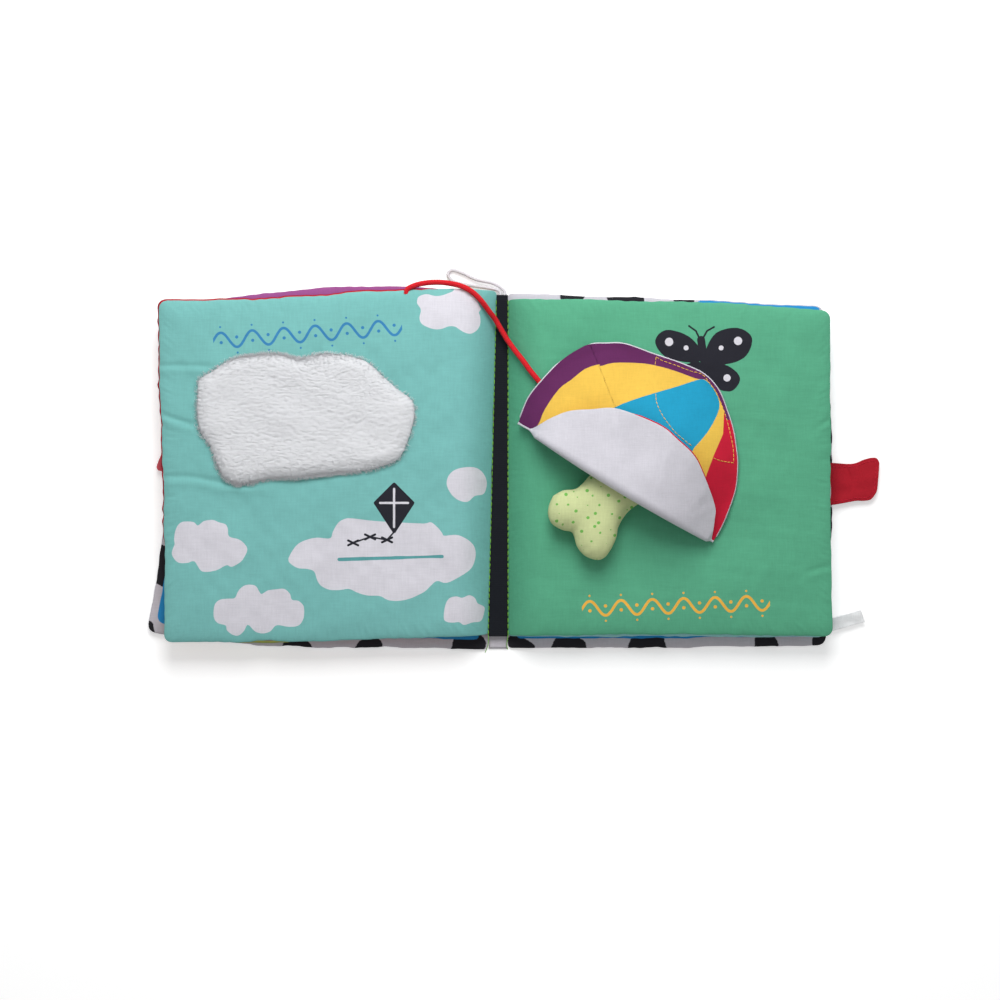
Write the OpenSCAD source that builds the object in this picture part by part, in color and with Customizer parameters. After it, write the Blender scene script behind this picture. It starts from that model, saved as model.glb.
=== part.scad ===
// Padded cloth activity book lying open, with a round flap over a stuffed bone on a braided cord.
// Millimetres, +Z up. The origin is on the table, under the middle of the spine.
// The left half lies towards -X, the right half towards +X, and the tops of the pages towards +Y.

/* [Leaves] */
// Width of a leaf from the spine to its outer edge
leaf_w = 180; // [165:1:195]
// Height of a leaf from its bottom edge to its top edge
leaf_h = 186; // [170:1:200]
// Radius of the corners of every padded panel
corner_r = 6; // [3:0.5:10]
// Thickness of one layer of the page and cover cloth
cloth_t = 0.6; // [0.4:0.05:0.8]
// Height of the padding above the seam of a panel
pad_up = 3.2; // [2.4:0.1:4]
// Height of the padding below the seam of a panel
pad_down = 2.2; // [1.6:0.1:3]
// Width over which a panel thins down to its seam at the spine
dip_w = 22; // [16:1:28]

/* [Cover] */
// Width of one cover panel from the spine to its outer edge
cover_w = 184; // [170:1:200]
// Height of a cover panel
cover_h = 195; // [180:1:210]

/* [Spine] */
// Width of the spine strip at the bottom of the book
spine_w_bottom = 10.5; // [8:0.5:14]
// Width of the spine strip at the top, where the left half lies over it askew
spine_w_top = 5.9; // [5:0.1:8]
// Length of the spine strip
spine_l = 190; // [170:1:200]
// Thickness of the ribbed tape in the gutter
tape_t = 0.8; // [0.5:0.1:1.2]
// Length of one stitch along the tape
stitch_l = 2.6; // [1.5:0.1:3]
// Distance from one stitch to the next
stitch_pitch = 3.4; // [3.2:0.1:5]
// Thickness of the sewing thread
thread_t = 0.5; // [0.3:0.1:0.8]

/* [Fleece cloud] */
// Width of the fleece cloud
fleece_w = 119; // [90:1:130]
// Height of the fleece cloud on the page
fleece_h = 71; // [50:1:90]
// Depth of the fleece pile
fleece_t = 5.5; // [3:0.5:8]
// Distance from the spine to the middle of the fleece cloud
fleece_from_spine = 103; // [95:1:110]
// Height of the middle of the fleece cloud above the middle of the page
fleece_up = 29; // [0:1:40]

/* [Ball flap] */
// Radius of the round ball flap
ball_r = 63.6; // [60:0.2:68]
// Thickness of each of its two cloth layers
flap_t = 0.7; // [0.4:0.05:0.9]
// Distance from the middle of the ball to the line where it is folded back
fold_d = 12.3; // [8:0.1:16]
// Direction of the fold line on the page, in degrees
fold_angle = -31.3; // [-40:0.1:-20]
// Radius of the roll at the middle of the fold
fold_r = 4.4; // [3:0.1:6]
// Distance from the spine to the middle of the ball
ball_from_spine = 66; // [64:0.5:80]
// Height of the middle of the ball above the middle of the page
ball_up = 4.3; // [-5:0.1:15]

/* [Bone] */
// Length of the stuffed bone
bone_l = 78; // [66:1:80]
// Width across the two lobes of one end
bone_w = 42; // [36:0.5:43]
// Width of the shaft of the bone
bone_shaft_w = 26; // [18:0.5:28]
// Thickness of the bone
bone_t = 16; // [12:0.5:18]
// Radius of one lobe
lobe_r = 11.5; // [9:0.5:12.5]
// Direction of the bone on the page, in degrees
bone_angle = 45; // [40:1:50]

/* [Tab and label] */
// Length of the closing tab that shows beyond the cover
tab_l = 25; // [15:1:35]
// Width of the closing tab
tab_w = 22; // [16:1:30]
// Thickness of the closing tab
tab_t = 1.6; // [1:0.1:2]
// Length of the sewn-in care label
label_l = 18; // [10:1:25]
// Width of the care label
label_w = 7; // [4:0.5:12]
// Length of the closing patch that shows beyond the left cover
patch_l = 3.6; // [2:0.1:8]
// Width of the closing patch
patch_w = 10; // [6:0.5:20]

/* [Cords] */
// Diameter of the braided cord that holds the bone
cord_d = 3; // [2:0.1:3.4]
// Diameter of the cord of the hanging loop
loop_d = 2; // [1.4:0.1:2.4]

/* [Hidden] */

// Gap between two soft pieces that lie on each other
lie_gap = 0.3;
// Gap between two layers that are sewn together
sewn_gap = 0.05;
// Gap between the wadding and the cloth round it
wad_gap = 0.1;
// Middle of the spine strip along Y, and its two ends
spine_y = 2.5;
spine_top = spine_y + spine_l / 2;
spine_bottom = spine_y - spine_l / 2;
// The right side of the spine strip is straight, and its left side slants with the left half
spine_right = 4.7;
spine_left_top = spine_right - spine_w_top;
spine_left_bottom = spine_right - spine_w_bottom;
// Scales of the rings that a padded panel is drawn on, from its seam inwards
rings = [1, 0.965, 0.92, 0.84, 0.65];
wad_rings = [0.965, 0.92, 0.84, 0.65];
// Points along one edge of a panel, between its corners
edge_n = 6;

teal = [0.51, 0.77, 0.74];
sky_teal = [0.62, 0.85, 0.82];
green = [0.30, 0.66, 0.51];
purple = [0.55, 0.24, 0.52];
red = [0.72, 0.12, 0.18];
blue = [0.15, 0.53, 0.76];
white = [0.90, 0.90, 0.92];
navy = [0.13, 0.14, 0.18];
thread_green = [0.55, 0.75, 0.35];

function clamped(t) = min(1, max(0, t));
function ease(t) = let (u = clamped(t)) u * u * (3 - 2 * u);

// Edge of the spine strip at a height y, on the left or the right side
function left_slope() = (spine_left_top - spine_left_bottom) / spine_l;
function spine_x(side, y) =
    side > 0 ? spine_right : spine_left_bottom + (y - spine_bottom) * left_slope();
// Distance of a point from the spine strip
function from_spine(side, p) = side * (p[0] - spine_x(side, p[1]));

// How far a panel has risen to its full height at a distance u from the spine
function dip(u) = 1 - pow(1 - clamped(u / dip_w), 2.2);
// How full the padding is on the ring of scale s
function fullness(s) = pow(1 - pow(s, 8), 0.6);
// Height of the seam of the panel on level k, counted from the cover up
function seam_at_spine(k) = cloth_t + k * (2 * cloth_t + lie_gap);
function seam_at_edge(k) = cloth_t + pad_down + k * (2 * cloth_t + pad_up + pad_down + lie_gap);
function seam_z(k, u) =
    seam_at_spine(k) + (seam_at_edge(k) - seam_at_spine(k)) * dip(u);
function face_z(k, u, s) = seam_z(k, u) + cloth_t + pad_up * fullness(s) * dip(u);
function back_z(k, u, s) = seam_z(k, u) - cloth_t - pad_down * fullness(s) * dip(u);
// Height of the top page under a point, at the full height of its padding
function page_z(side, p) = face_z(2, from_spine(side, p), 0);

// Corners of a panel, counter-clockwise from above. lie holds how far each one is from square:
// the inner bottom corner, the outer bottom, the outer top and the inner top
function corners(side, w, h, lie) = [
    [spine_x(side, -h / 2 + lie[0][1]) + side * lie_gap / 2, -h / 2 + lie[0][1]],
    [spine_x(side, -h / 2) + side * w + lie[1][0], -h / 2 + lie[1][1]],
    [spine_x(side, h / 2) + side * w + lie[2][0], h / 2 + lie[2][1]],
    [spine_x(side, h / 2 + lie[3][1]) + side * lie_gap / 2, h / 2 + lie[3][1]]
];
function turned(side, c) = side > 0 ? c : [c[1], c[0], c[3], c[2]];
function unit(v) = v / norm(v);
// Points round one corner, from the edge that comes in to the edge that goes out
function corner_points(a, b, c) =
    let (p = b + corner_r * unit(a - b), q = b + corner_r * unit(c - b))
    [p, 0.25 * p + 0.5 * b + 0.25 * q, q];
// Points along an edge that bows out by bow[0] and swings by bow[1]
function edge_points(a, b, bow) =
    let (d = unit(b - a), n = [d[1], -d[0]], l = norm(b - a))
    [for (i = [1:edge_n])
        let (t = (corner_r + (l - 2 * corner_r) * i / (edge_n + 1)) / l)
        a + (b - a) * t + n * (bow[0] * sin(180 * t) + bow[1] * sin(360 * t))];
// Outline of a panel. bows has one pair for each edge, from the edge after corner 0
function outline(c, bows) = [
    for (i = [0:3])
        for (p = concat(
            corner_points(c[(i + 3) % 4], c[i], c[(i + 1) % 4]),
            edge_points(c[i], c[(i + 1) % 4], bows[i]))) p
];
function middle(c) = (c[0] + c[1] + c[2] + c[3]) / 4;

// Points of one surface of a panel: its rings and its middle. which is 1 for the face,
// -1 for the back, and inset is how far inside the outer surface it lies
function panel_points(side, k, line, mid, scales, which, inset) = concat(
    [for (s = scales) for (q = line)
        let (p = mid + s * (q - mid), u = from_spine(side, p))
        [p[0], p[1], (which > 0 ? face_z(k, u, s) : back_z(k, u, s)) - which * inset]],
    [let (u = from_spine(side, mid))
        [mid[0], mid[1], (which > 0 ? face_z(k, u, 0) : back_z(k, u, 0)) - which * inset]]
);
// Closed solid between an upper and a lower surface with m rings of n points each
module between(upper, lower, n, m) {
    low = m * n + 1;
    faces = concat(
        [for (a = [0:m - 2]) for (i = [0:n - 1]) let (j = (i + 1) % n)
            [a * n + j, a * n + i, (a + 1) * n + i]],
        [for (a = [0:m - 2]) for (i = [0:n - 1]) let (j = (i + 1) % n)
            [a * n + j, (a + 1) * n + i, (a + 1) * n + j]],
        [for (i = [0:n - 1]) let (j = (i + 1) % n) [(m - 1) * n + j, (m - 1) * n + i, m * n]],
        [for (a = [0:m - 2]) for (i = [0:n - 1]) let (j = (i + 1) % n)
            [low + a * n + i, low + a * n + j, low + (a + 1) * n + i]],
        [for (a = [0:m - 2]) for (i = [0:n - 1]) let (j = (i + 1) % n)
            [low + a * n + j, low + (a + 1) * n + j, low + (a + 1) * n + i]],
        [for (i = [0:n - 1]) let (j = (i + 1) % n)
            [low + (m - 1) * n + i, low + (m - 1) * n + j, low + m * n]],
        [for (i = [0:n - 1]) let (j = (i + 1) % n) [i, j, low + j]],
        [for (i = [0:n - 1]) let (j = (i + 1) % n) [i, low + j, low + i]]
    );
    polyhedron(points = concat(upper, lower), faces = faces, convexity = 6);
}

// One panel is a face cloth, a back cloth and the wadding between them.
// A panel is [side, level, corners, bows of its edges]
module panel_cloth(panel, which) {
    line = outline(panel[2], panel[3]);
    mid = middle(panel[2]);
    skin = panel_points(panel[0], panel[1], line, mid, rings, which, 0);
    inside = panel_points(panel[0], panel[1], line, mid, rings, which, cloth_t - sewn_gap);
    if (which > 0) between(skin, inside, len(line), len(rings));
    else between(inside, skin, len(line), len(rings));
}
module panel_wadding(panel) {
    line = outline(panel[2], panel[3]);
    mid = middle(panel[2]);
    inset = cloth_t + wad_gap;
    between(
        panel_points(panel[0], panel[1], line, mid, wad_rings, 1, inset),
        panel_points(panel[0], panel[1], line, mid, wad_rings, -1, inset),
        len(line), len(wad_rings));
}

// The six panels, as they lie in the open book
left_cover = [-1, 0,
    turned(-1, corners(-1, cover_w, cover_h, [[0, -2], [-3.8, 8.2], [-2.8, -3], [0, 0.5]])),
    [[3.6, 1.2], [0, 0], [1, 0], [0, 0]]];
purple_leaf = [-1, 1,
    turned(-1, corners(-1, leaf_w, leaf_h, [[0, -0.5], [1.8, 1.5], [0.2, -0.5], [0, 6]])),
    [[0, 0], [0, 0], [5.5, 1], [0, 0]]];
sky_leaf = [-1, 2,
    turned(-1, corners(-1, leaf_w, leaf_h, [[0, 2.2], [0.8, -1.6], [-6.4, 1], [0, 5.5]])),
    [[0.8, 0], [0, 0], [0.2, 1.2], [-1, 0.6]]];
right_cover = [1, 0,
    corners(1, cover_w, cover_h, [[0, -1], [-6.8, 0.5], [-8.2, -4], [0, -0.5]]),
    [[0.4, 0], [0, 0], [0.5, 0], [0, 0]]];
inner_leaf = [1, 1,
    corners(1, leaf_w, leaf_h, [[0, 1.2], [-3, 1], [-4, -6], [0, 0]]),
    [[0, 0], [0, 0], [0, 0], [0, 0]]];
ball_leaf = [1, 2,
    corners(1, leaf_w, leaf_h, [[0, 1.7], [-0.7, 1.7], [-1.9, -4.8], [0, 1]]),
    [[-1.2, 0], [-0.6, 0], [0.4, 0], [0, 0]]];

module left_cover_outer() {
    color(white) panel_cloth(left_cover, -1);
}
module left_cover_wadding() {
    color("ivory") panel_wadding(left_cover);
}
module left_cover_lining() {
    color(blue) panel_cloth(left_cover, 1);
}
module purple_leaf_back() {
    color(thread_green) panel_cloth(purple_leaf, -1);
}
module purple_leaf_wadding() {
    color("ivory") panel_wadding(purple_leaf);
}
module purple_leaf_face() {
    color(purple) panel_cloth(purple_leaf, 1);
}
module sky_leaf_back() {
    color(red) panel_cloth(sky_leaf, -1);
}
module sky_leaf_wadding() {
    color("ivory") panel_wadding(sky_leaf);
}
module sky_leaf_face() {
    color(teal) panel_cloth(sky_leaf, 1);
}
module right_cover_outer() {
    color(white) panel_cloth(right_cover, -1);
}
module right_cover_wadding() {
    color("ivory") panel_wadding(right_cover);
}
module right_cover_lining() {
    color(blue) panel_cloth(right_cover, 1);
}
module inner_leaf_back() {
    color(sky_teal) panel_cloth(inner_leaf, -1);
}
module inner_leaf_wadding() {
    color("ivory") panel_wadding(inner_leaf);
}
module inner_leaf_face() {
    color(sky_teal) panel_cloth(inner_leaf, 1);
}
module ball_leaf_back() {
    color(purple) panel_cloth(ball_leaf, -1);
}
module ball_leaf_wadding() {
    color("ivory") panel_wadding(ball_leaf);
}
module ball_leaf_face() {
    color(green) panel_cloth(ball_leaf, 1);
}

// The spine strip: cover cloth below, the seam allowances of the leaves, then the ribbed tape
binding_z = 2 * cloth_t + sewn_gap;
tape_z = seam_at_spine(2) + cloth_t;
// The cover cloth runs from the bottom to the top seam of the right cover, and the layers in it
// stop short of the ends of the spine
cover_bottom = right_cover[2][0][1];
cover_top = right_cover[2][3][1];
hem = 1;
module spine_strip(z, t, y0, y1) {
    inset = lie_gap / 2;
    translate([0, 0, z]) linear_extrude(t) polygon([
        [spine_x(-1, y0) + inset, y0],
        [spine_x(1, y0) - inset, y0],
        [spine_x(1, y1) - inset, y1],
        [spine_x(-1, y1) + inset, y1]
    ]);
}
module cover_spine() {
    color(white) spine_strip(0, 2 * cloth_t, cover_bottom, cover_top);
}
module spine_binding() {
    color(navy)
        spine_strip(binding_z, tape_z - sewn_gap - binding_z, spine_bottom + hem, spine_top - hem);
}
module gutter_tape() {
    color(navy) spine_strip(tape_z, tape_t, spine_bottom + hem, spine_top - hem);
}
// A row of stitches along one side of the tape
module stitch_row(side) {
    n = floor((spine_l - 2 * stitch_pitch) / stitch_pitch);
    y0 = spine_y - (n - 1) * stitch_pitch / 2;
    inset = lie_gap / 2 + 1.5 * thread_t;
    for (i = [0:n - 1]) {
        y = y0 + i * stitch_pitch;
        translate([spine_x(side, y) - side * inset - thread_t / 2, y - stitch_l / 2, tape_z + tape_t])
            cube([thread_t, stitch_l, thread_t]);
    }
}
module stitch_line_left() {
    color(thread_green) stitch_row(-1);
}
module stitch_line_right() {
    color(thread_green) stitch_row(1);
}

// A tube with a round section along a route. The route's points are joined by a smooth curve
function spline(a, b, c, d, t) = 0.5 * (
    2 * b + (c - a) * t + (2 * a - 5 * b + 4 * c - d) * t * t + (3 * b - a - 3 * c + d) * t * t * t);
function at(route, i) = route[min(len(route) - 1, max(0, i))];
function smooth(route, parts) = concat(
    [for (i = [0:len(route) - 2]) for (j = [0:parts - 1])
        spline(at(route, i - 1), at(route, i), at(route, i + 1), at(route, i + 2), j / parts)],
    [at(route, len(route) - 1)]
);
function heading(path, i) = unit(at(path, i + 1) - at(path, i - 1));
module tube(path, d, sides) {
    n = len(path);
    points = [
        for (i = [0:n - 1])
            let (t = heading(path, i), s = unit(cross(t, [0, 0, 1])), up = cross(s, t))
            for (j = [0:sides - 1])
                path[i] + d / 2 * (cos(360 * j / sides) * s + sin(360 * j / sides) * up)
    ];
    faces = concat(
        [[for (j = [sides - 1:-1:0]) j]],
        [for (i = [0:n - 2]) for (j = [0:sides - 1]) let (k = (j + 1) % sides)
            [i * sides + j, (i + 1) * sides + k, (i + 1) * sides + j]],
        [for (i = [0:n - 2]) for (j = [0:sides - 1]) let (k = (j + 1) % sides)
            [i * sides + j, i * sides + k, (i + 1) * sides + k]],
        [[for (j = [0:sides - 1]) (n - 1) * sides + j]]
    );
    polyhedron(points = points, faces = faces, convexity = 8);
}

// Route of the braided cord: out of the top seam of the sky leaf, over the corner of the page,
// across the gutter and under the flap to the end of the bone
cord_left_route = [
    [-50, 100.6, 17], [-44, 103, 17], [-36, 104, 17], [-28, 103.5, 17.6], [-20, 101.5, 18.4],
    [-14, 98, 18], [-9.5, 93.5, 16.6], [-6, 89, 13.8], [-2.3, 84.3, 10.4]
];
cord_spine_route = [[-1.9, 83.6, 10.2], [0.6, 79.4, 9.4], [3, 75.4, 9.5], [4.4, 73, 10]];
cord_right_route = [
    [4.6, 72.7, 10.1], [8.5, 67, 13.4], [13, 61, 18.2], [18, 54, 21.4], [24, 47.2, 23],
    [32, 42, 23.4], [42, 38, 23.6], [54, 34.5, 24], [66, 32, 24.4], [78, 31, 24.6], [89, 30, 25],
    [96, 26, 26], [97, 22, 27]
];
module cord_left() {
    color(red) tube(smooth(cord_left_route, 1), cord_d, 8);
}
module cord_spine() {
    color(red) tube(smooth(cord_spine_route, 1), cord_d, 8);
}
module cord_right() {
    color(red) tube(smooth(cord_right_route, 1), cord_d, 8);
}

// Route of the hanging loop, out of the top end of the spine and back into it
loop_route = [
    [3, 96.65, 2.7], [2.8, 100.6, 2.7], [-3, 104.6, 2.5], [-13, 107, 2], [-20, 110.4, 1.5],
    [-26, 112.2, 1.2], [-28.5, 110, 1.2], [-26.5, 106.6, 1.3], [-20, 104.4, 1.6],
    [-12, 103, 2.2], [-5, 102, 2.6], [0.2, 100.4, 2.7], [0.6, 96.65, 2.7]
];
module hanging_loop() {
    color(white) tube(smooth(loop_route, 2), loop_d, 8);
}

// The fleece cloud: its outline as shares of half its width and height, counter-clockwise
fleece_shape = [
    [1, 0.06], [0.97, 0.28], [0.84, 0.45], [0.70, 0.66], [0.57, 0.86], [0.39, 0.97], [0.18, 1],
    [0.03, 0.97], [-0.08, 0.92], [-0.28, 1], [-0.51, 0.97], [-0.72, 0.89], [-0.88, 0.72],
    [-1, 0.56], [-1, 0.22], [-0.98, -0.20], [-0.90, -0.41], [-0.83, -0.68], [-0.76, -0.90],
    [-0.64, -1], [-0.50, -0.99], [-0.34, -0.93], [-0.08, -0.91], [0.18, -0.85], [0.50, -0.82],
    [0.70, -0.74], [0.86, -0.60], [0.95, -0.27]
];
fleece_rings = [1, 0.97, 0.9, 0.7];
fleece_x = spine_x(-1, fleece_up) - fleece_from_spine;
module fleece_cloud() {
    mid = [fleece_x, fleece_up];
    line = [for (q = fleece_shape) mid + [q[0] * fleece_w / 2, q[1] * fleece_h / 2]];
    foot = seam_at_edge(2) + cloth_t + pad_up + lie_gap;
    upper = concat(
        [for (s = fleece_rings) for (q = line)
            let (p = mid + s * (q - mid)) [p[0], p[1], foot + fleece_t * (0.35 + 0.65 * fullness(s))]],
        [[mid[0], mid[1], foot + fleece_t]]);
    lower = concat(
        [for (s = fleece_rings) for (q = line)
            let (p = mid + s * (q - mid)) [p[0], p[1], foot]],
        [[mid[0], mid[1], foot]]);
    color("whitesmoke") between(upper, lower, len(line), len(fleece_rings));
}

// The ball flap. A place on it is c along the fold line and v away from it, up the page
ball_mid = [spine_right + ball_from_spine, ball_up];
along = [cos(fold_angle), sin(fold_angle)];
away = [-sin(fold_angle), cos(fold_angle)];
function on_ball(c, v) = ball_mid + c * along + (v - fold_d) * away;
function half_chord(v) = sqrt(max(1, ball_r * ball_r - (v - fold_d) * (v - fold_d)));
// How far the flap reaches at c: to its sewn rim above the fold, and to its free rim past it
function sewn_reach(c) = fold_d + sqrt(ball_r * ball_r - c * c);
function free_reach(c) = sqrt(ball_r * ball_r - c * c) - fold_d;
// The flap is carried up by the bone, and its left side is held up by the cord
flap_rise = bone_t + 2 * lie_gap + flap_t;
side_lift = cord_d + 4 * lie_gap;
// The slack of the flap falls away to its sewn rim between these two places
slack_start = bone_l / 2 - 4;
slack_l = 40;
// The tether lifts the flap from this far left of its middle, over this width
side_start = 18;
side_l = 26;
function tent(t) = pow(max(0, 1 - pow(abs(t - 0.12 * (1 - t * t)), 2.6)), 1.6);
function lift(c, v) =
    lie_gap + side_lift * ease((-side_start - c) / side_l)
    + flap_rise * tent(c / half_chord(v)) * (1 - ease((v - slack_start) / slack_l));
function flap_z(c, v) = page_z(1, on_ball(c, v)) + lift(c, v) + flap_t;
// Radius of the roll at the fold, which runs out at the two ends
function roll(c) = min(1.4 + (fold_r - 1.4) * (1 - pow(c / ball_r, 2)), free_reach(c) / 4.2);
// The rise of the free edge, and how much of the turned part shows from above
curl = 2.5;
shown = 0.93;
lower_n = 8;
roll_n = 4;
free_n = 5;
// Columns across the flap, closer together at the ends of the fold
column_n = 7;
chord_end = sqrt(pow(ball_r, 2) - pow(fold_d, 2)) - 1.6;
columns = [for (i = [-column_n:column_n]) chord_end * sin(90 * i / column_n)];
// A point of the middle surface of the flap and the direction of its printed side
function flap_lower(c, i) =
    let (v = sewn_reach(c) * (1 - i / lower_n)) [v, flap_z(c, v), [0, 1]];
function flap_roll(c, i) =
    let (r = roll(c), a = 180 * i / roll_n)
    [-r * sin(a), flap_z(c, 0) + r * (1 - cos(a)), [sin(a), cos(a)]];
function flap_free(c, i) =
    let (r = roll(c), w = (free_reach(c) - PI * r) * i / free_n, v = shown * w)
    [v, flap_z(c, v) + 2 * r + curl * pow(w / ball_r * 1.6, 2), [0, -1]];
function flap_column(c) = concat(
    [for (i = [0:lower_n]) flap_lower(c, i)],
    [for (i = [1:roll_n]) flap_roll(c, i)],
    [for (i = [1:free_n]) flap_free(c, i)]
);
// The flap's middle surface moved towards its printed side
function flap_points(offset) = [
    for (c = columns) for (q = flap_column(c))
        let (v = q[0] + offset * q[2][0], p = on_ball(c, v)) [p[0], p[1], q[1] + offset * q[2][1]]
];
// Faces of one side of a sheet, between an edge of its upper layer and the same edge of the lower
function wall(edge, low) = concat(
    [for (i = [0:len(edge) - 2]) [edge[i], low + edge[i], low + edge[i + 1]]],
    [for (i = [0:len(edge) - 2]) [edge[i], low + edge[i + 1], edge[i + 1]]]
);
module flap_layer(from, to) {
    rows = lower_n + 1 + roll_n + free_n;
    cols = len(columns);
    low = rows * cols;
    faces = concat(
        [for (a = [0:cols - 2]) for (i = [0:rows - 2])
            [a * rows + i, (a + 1) * rows + i, (a + 1) * rows + i + 1]],
        [for (a = [0:cols - 2]) for (i = [0:rows - 2])
            [a * rows + i, (a + 1) * rows + i + 1, a * rows + i + 1]],
        [for (a = [0:cols - 2]) for (i = [0:rows - 2])
            [low + a * rows + i, low + (a + 1) * rows + i + 1, low + (a + 1) * rows + i]],
        [for (a = [0:cols - 2]) for (i = [0:rows - 2])
            [low + a * rows + i, low + a * rows + i + 1, low + (a + 1) * rows + i + 1]],
        wall([for (a = [0:cols - 1]) a * rows], low),
        wall([for (a = [cols - 1:-1:0]) a * rows + rows - 1], low),
        wall([for (i = [rows - 1:-1:0]) i], low),
        wall([for (i = [0:rows - 1]) (cols - 1) * rows + i], low)
    );
    polyhedron(points = concat(flap_points(to), flap_points(from)), faces = faces, convexity = 8);
}
module ball_front() {
    color("gold") flap_layer(sewn_gap / 2, flap_t);
}
module ball_lining() {
    color(white) flap_layer(-flap_t, -sewn_gap / 2);
}

// The stuffed bone lies on the page under the fold, with half its length showing
bone_mid = on_ball(2, -3);
module bone() {
    end_x = bone_l / 2 - lobe_r;
    end_y = bone_w / 2 - lobe_r;
    flat = bone_t / (2 * lobe_r);
    color([0.80, 0.86, 0.58])
        translate([bone_mid[0], bone_mid[1], seam_at_edge(2) + cloth_t + pad_up + lie_gap + bone_t / 2])
            rotate([0, 0, bone_angle]) scale([1, 1, flat]) {
                for (ex = [-1, 1]) for (ey = [-1, 1])
                    translate([ex * end_x, ey * end_y, 0]) sphere(r = lobe_r, $fn = 20);
                hull() for (ex = [-1, 1])
                    translate([ex * end_x, 0, 0]) scale([0.6, bone_shaft_w / 2 / lobe_r, 0.96])
                        sphere(r = lobe_r, $fn = 20);
            }
}

// The closing tab, its fastener and the label are sewn into the seam of the right cover
cover_seam = seam_at_edge(0);
tab_y = -7.5;
tab_from = right_cover[2][1][0] + (right_cover[2][2][0] - right_cover[2][1][0]) / 2 + lie_gap;
label_up = 17.5;
label_y = label_up - cover_h / 2;
module rounded(l, w, r, t) {
    linear_extrude(t) {
        translate([0, -w / 2]) square([l - r, w]);
        for (s = [-1, 1]) translate([l - r, s * (w / 2 - r)]) circle(r = r, $fn = 32);
        translate([l - r, -w / 2 + r]) square([r, w - 2 * r]);
    }
}
module closure_tab() {
    color(red) translate([tab_from, tab_y, cover_seam - tab_t / 2]) rounded(tab_l, tab_w, 3, tab_t);
}
fastener_t = 1;
module tab_fastener() {
    margin = 4;
    color(navy) translate([tab_from + margin, tab_y, cover_seam - tab_t / 2 - sewn_gap - fastener_t])
        rounded(tab_l - 2 * margin, tab_w - 2 * margin, 1.5, fastener_t);
}
module care_label() {
    color(white) translate([tab_from + 1.2, label_y, cover_seam - cloth_t / 2]) rotate([0, 0, 15])
        translate([0, -label_w / 2, 0]) cube([label_l, label_w, cloth_t]);
}
patch_y = 4;
patch_t = 1.6;
// The outer edge of the left cover at the height of the patch
left_edge_low = left_cover[2][0];
left_edge_high = left_cover[2][3];
patch_share = (patch_y - left_edge_low[1]) / (left_edge_high[1] - left_edge_low[1]);
patch_x = left_edge_low[0] + (left_edge_high[0] - left_edge_low[0]) * patch_share - lie_gap;
module closure_patch() {
    color(red) translate([patch_x, patch_y, cover_seam - patch_t / 2]) rotate([0, 0, 180])
        rounded(patch_l, patch_w, 1.2, patch_t);
}

cover_spine();
spine_binding();
gutter_tape();
stitch_line_left();
stitch_line_right();
hanging_loop();
cord_spine();
left_cover_outer();
left_cover_wadding();
left_cover_lining();
purple_leaf_back();
purple_leaf_wadding();
purple_leaf_face();
sky_leaf_back();
sky_leaf_wadding();
sky_leaf_face();
fleece_cloud();
closure_patch();
cord_left();
right_cover_outer();
right_cover_wadding();
right_cover_lining();
inner_leaf_back();
inner_leaf_wadding();
inner_leaf_face();
ball_leaf_back();
ball_leaf_wadding();
ball_leaf_face();
ball_front();
ball_lining();
bone();
closure_tab();
tab_fastener();
care_label();
cord_right();
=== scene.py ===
import math

import bpy
import numpy as np
from bpy.props import FloatProperty, FloatVectorProperty, IntProperty, PointerProperty
from bpy.types import Operator, Panel, PropertyGroup
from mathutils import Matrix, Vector


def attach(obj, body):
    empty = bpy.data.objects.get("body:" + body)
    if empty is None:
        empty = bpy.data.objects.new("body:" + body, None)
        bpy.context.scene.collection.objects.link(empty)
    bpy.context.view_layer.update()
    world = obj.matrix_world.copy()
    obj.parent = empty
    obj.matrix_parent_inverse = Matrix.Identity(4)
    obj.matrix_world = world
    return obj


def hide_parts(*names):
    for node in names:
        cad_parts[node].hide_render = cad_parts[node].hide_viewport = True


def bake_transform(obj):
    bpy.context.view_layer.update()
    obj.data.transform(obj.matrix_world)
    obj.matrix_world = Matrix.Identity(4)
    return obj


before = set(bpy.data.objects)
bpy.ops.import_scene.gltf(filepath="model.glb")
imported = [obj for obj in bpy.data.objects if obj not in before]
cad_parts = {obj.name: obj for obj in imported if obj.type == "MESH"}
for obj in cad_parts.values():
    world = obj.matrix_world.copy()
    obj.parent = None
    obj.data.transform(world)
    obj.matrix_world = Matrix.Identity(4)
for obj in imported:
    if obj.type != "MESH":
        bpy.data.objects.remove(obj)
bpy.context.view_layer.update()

bl_info = {
    "name": "Cloth activity book",
    "version": (1, 0, 0),
    "blender": (4, 5, 0),
    "location": "View3D > Sidebar > Book",
    "description": "Builds an open padded cloth book with a fleece cloud, a ball flap and a bone",
    "category": "Add Mesh",
}

# All lengths below are millimetres, and MM turns them into metres
MM = 0.001
CLOTH_T = 0.6
PAD_UP = 3.2
PAD_DOWN = 2.2
DIP_W = 22.0
OUTER_CORNER_R = 5.5
INNER_CORNER_R = 2.5
SPINE_BOTTOM = -92.5
SPINE_TOP = 97.5
SPINE_RIGHT = 4.7
SPINE_LEFT_BOTTOM = -5.8
SPINE_LEFT_TOP = -1.2
TAPE_Z = 4.2
TAPE_T = 0.8
PAGE_TOP = 20.4
# Width between the spine and a half of the book; no piece is bent over it
BEND_W = 28.0

# Outlines are drawn on squared paper that lies at the height of the pages
SQUARE = 0.55
PAPER_ZERO = (499.0, 471.0)
PAPER_Z = 20.0
CAMERA_AT = (0.5, -16.0, 1318.6)

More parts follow.
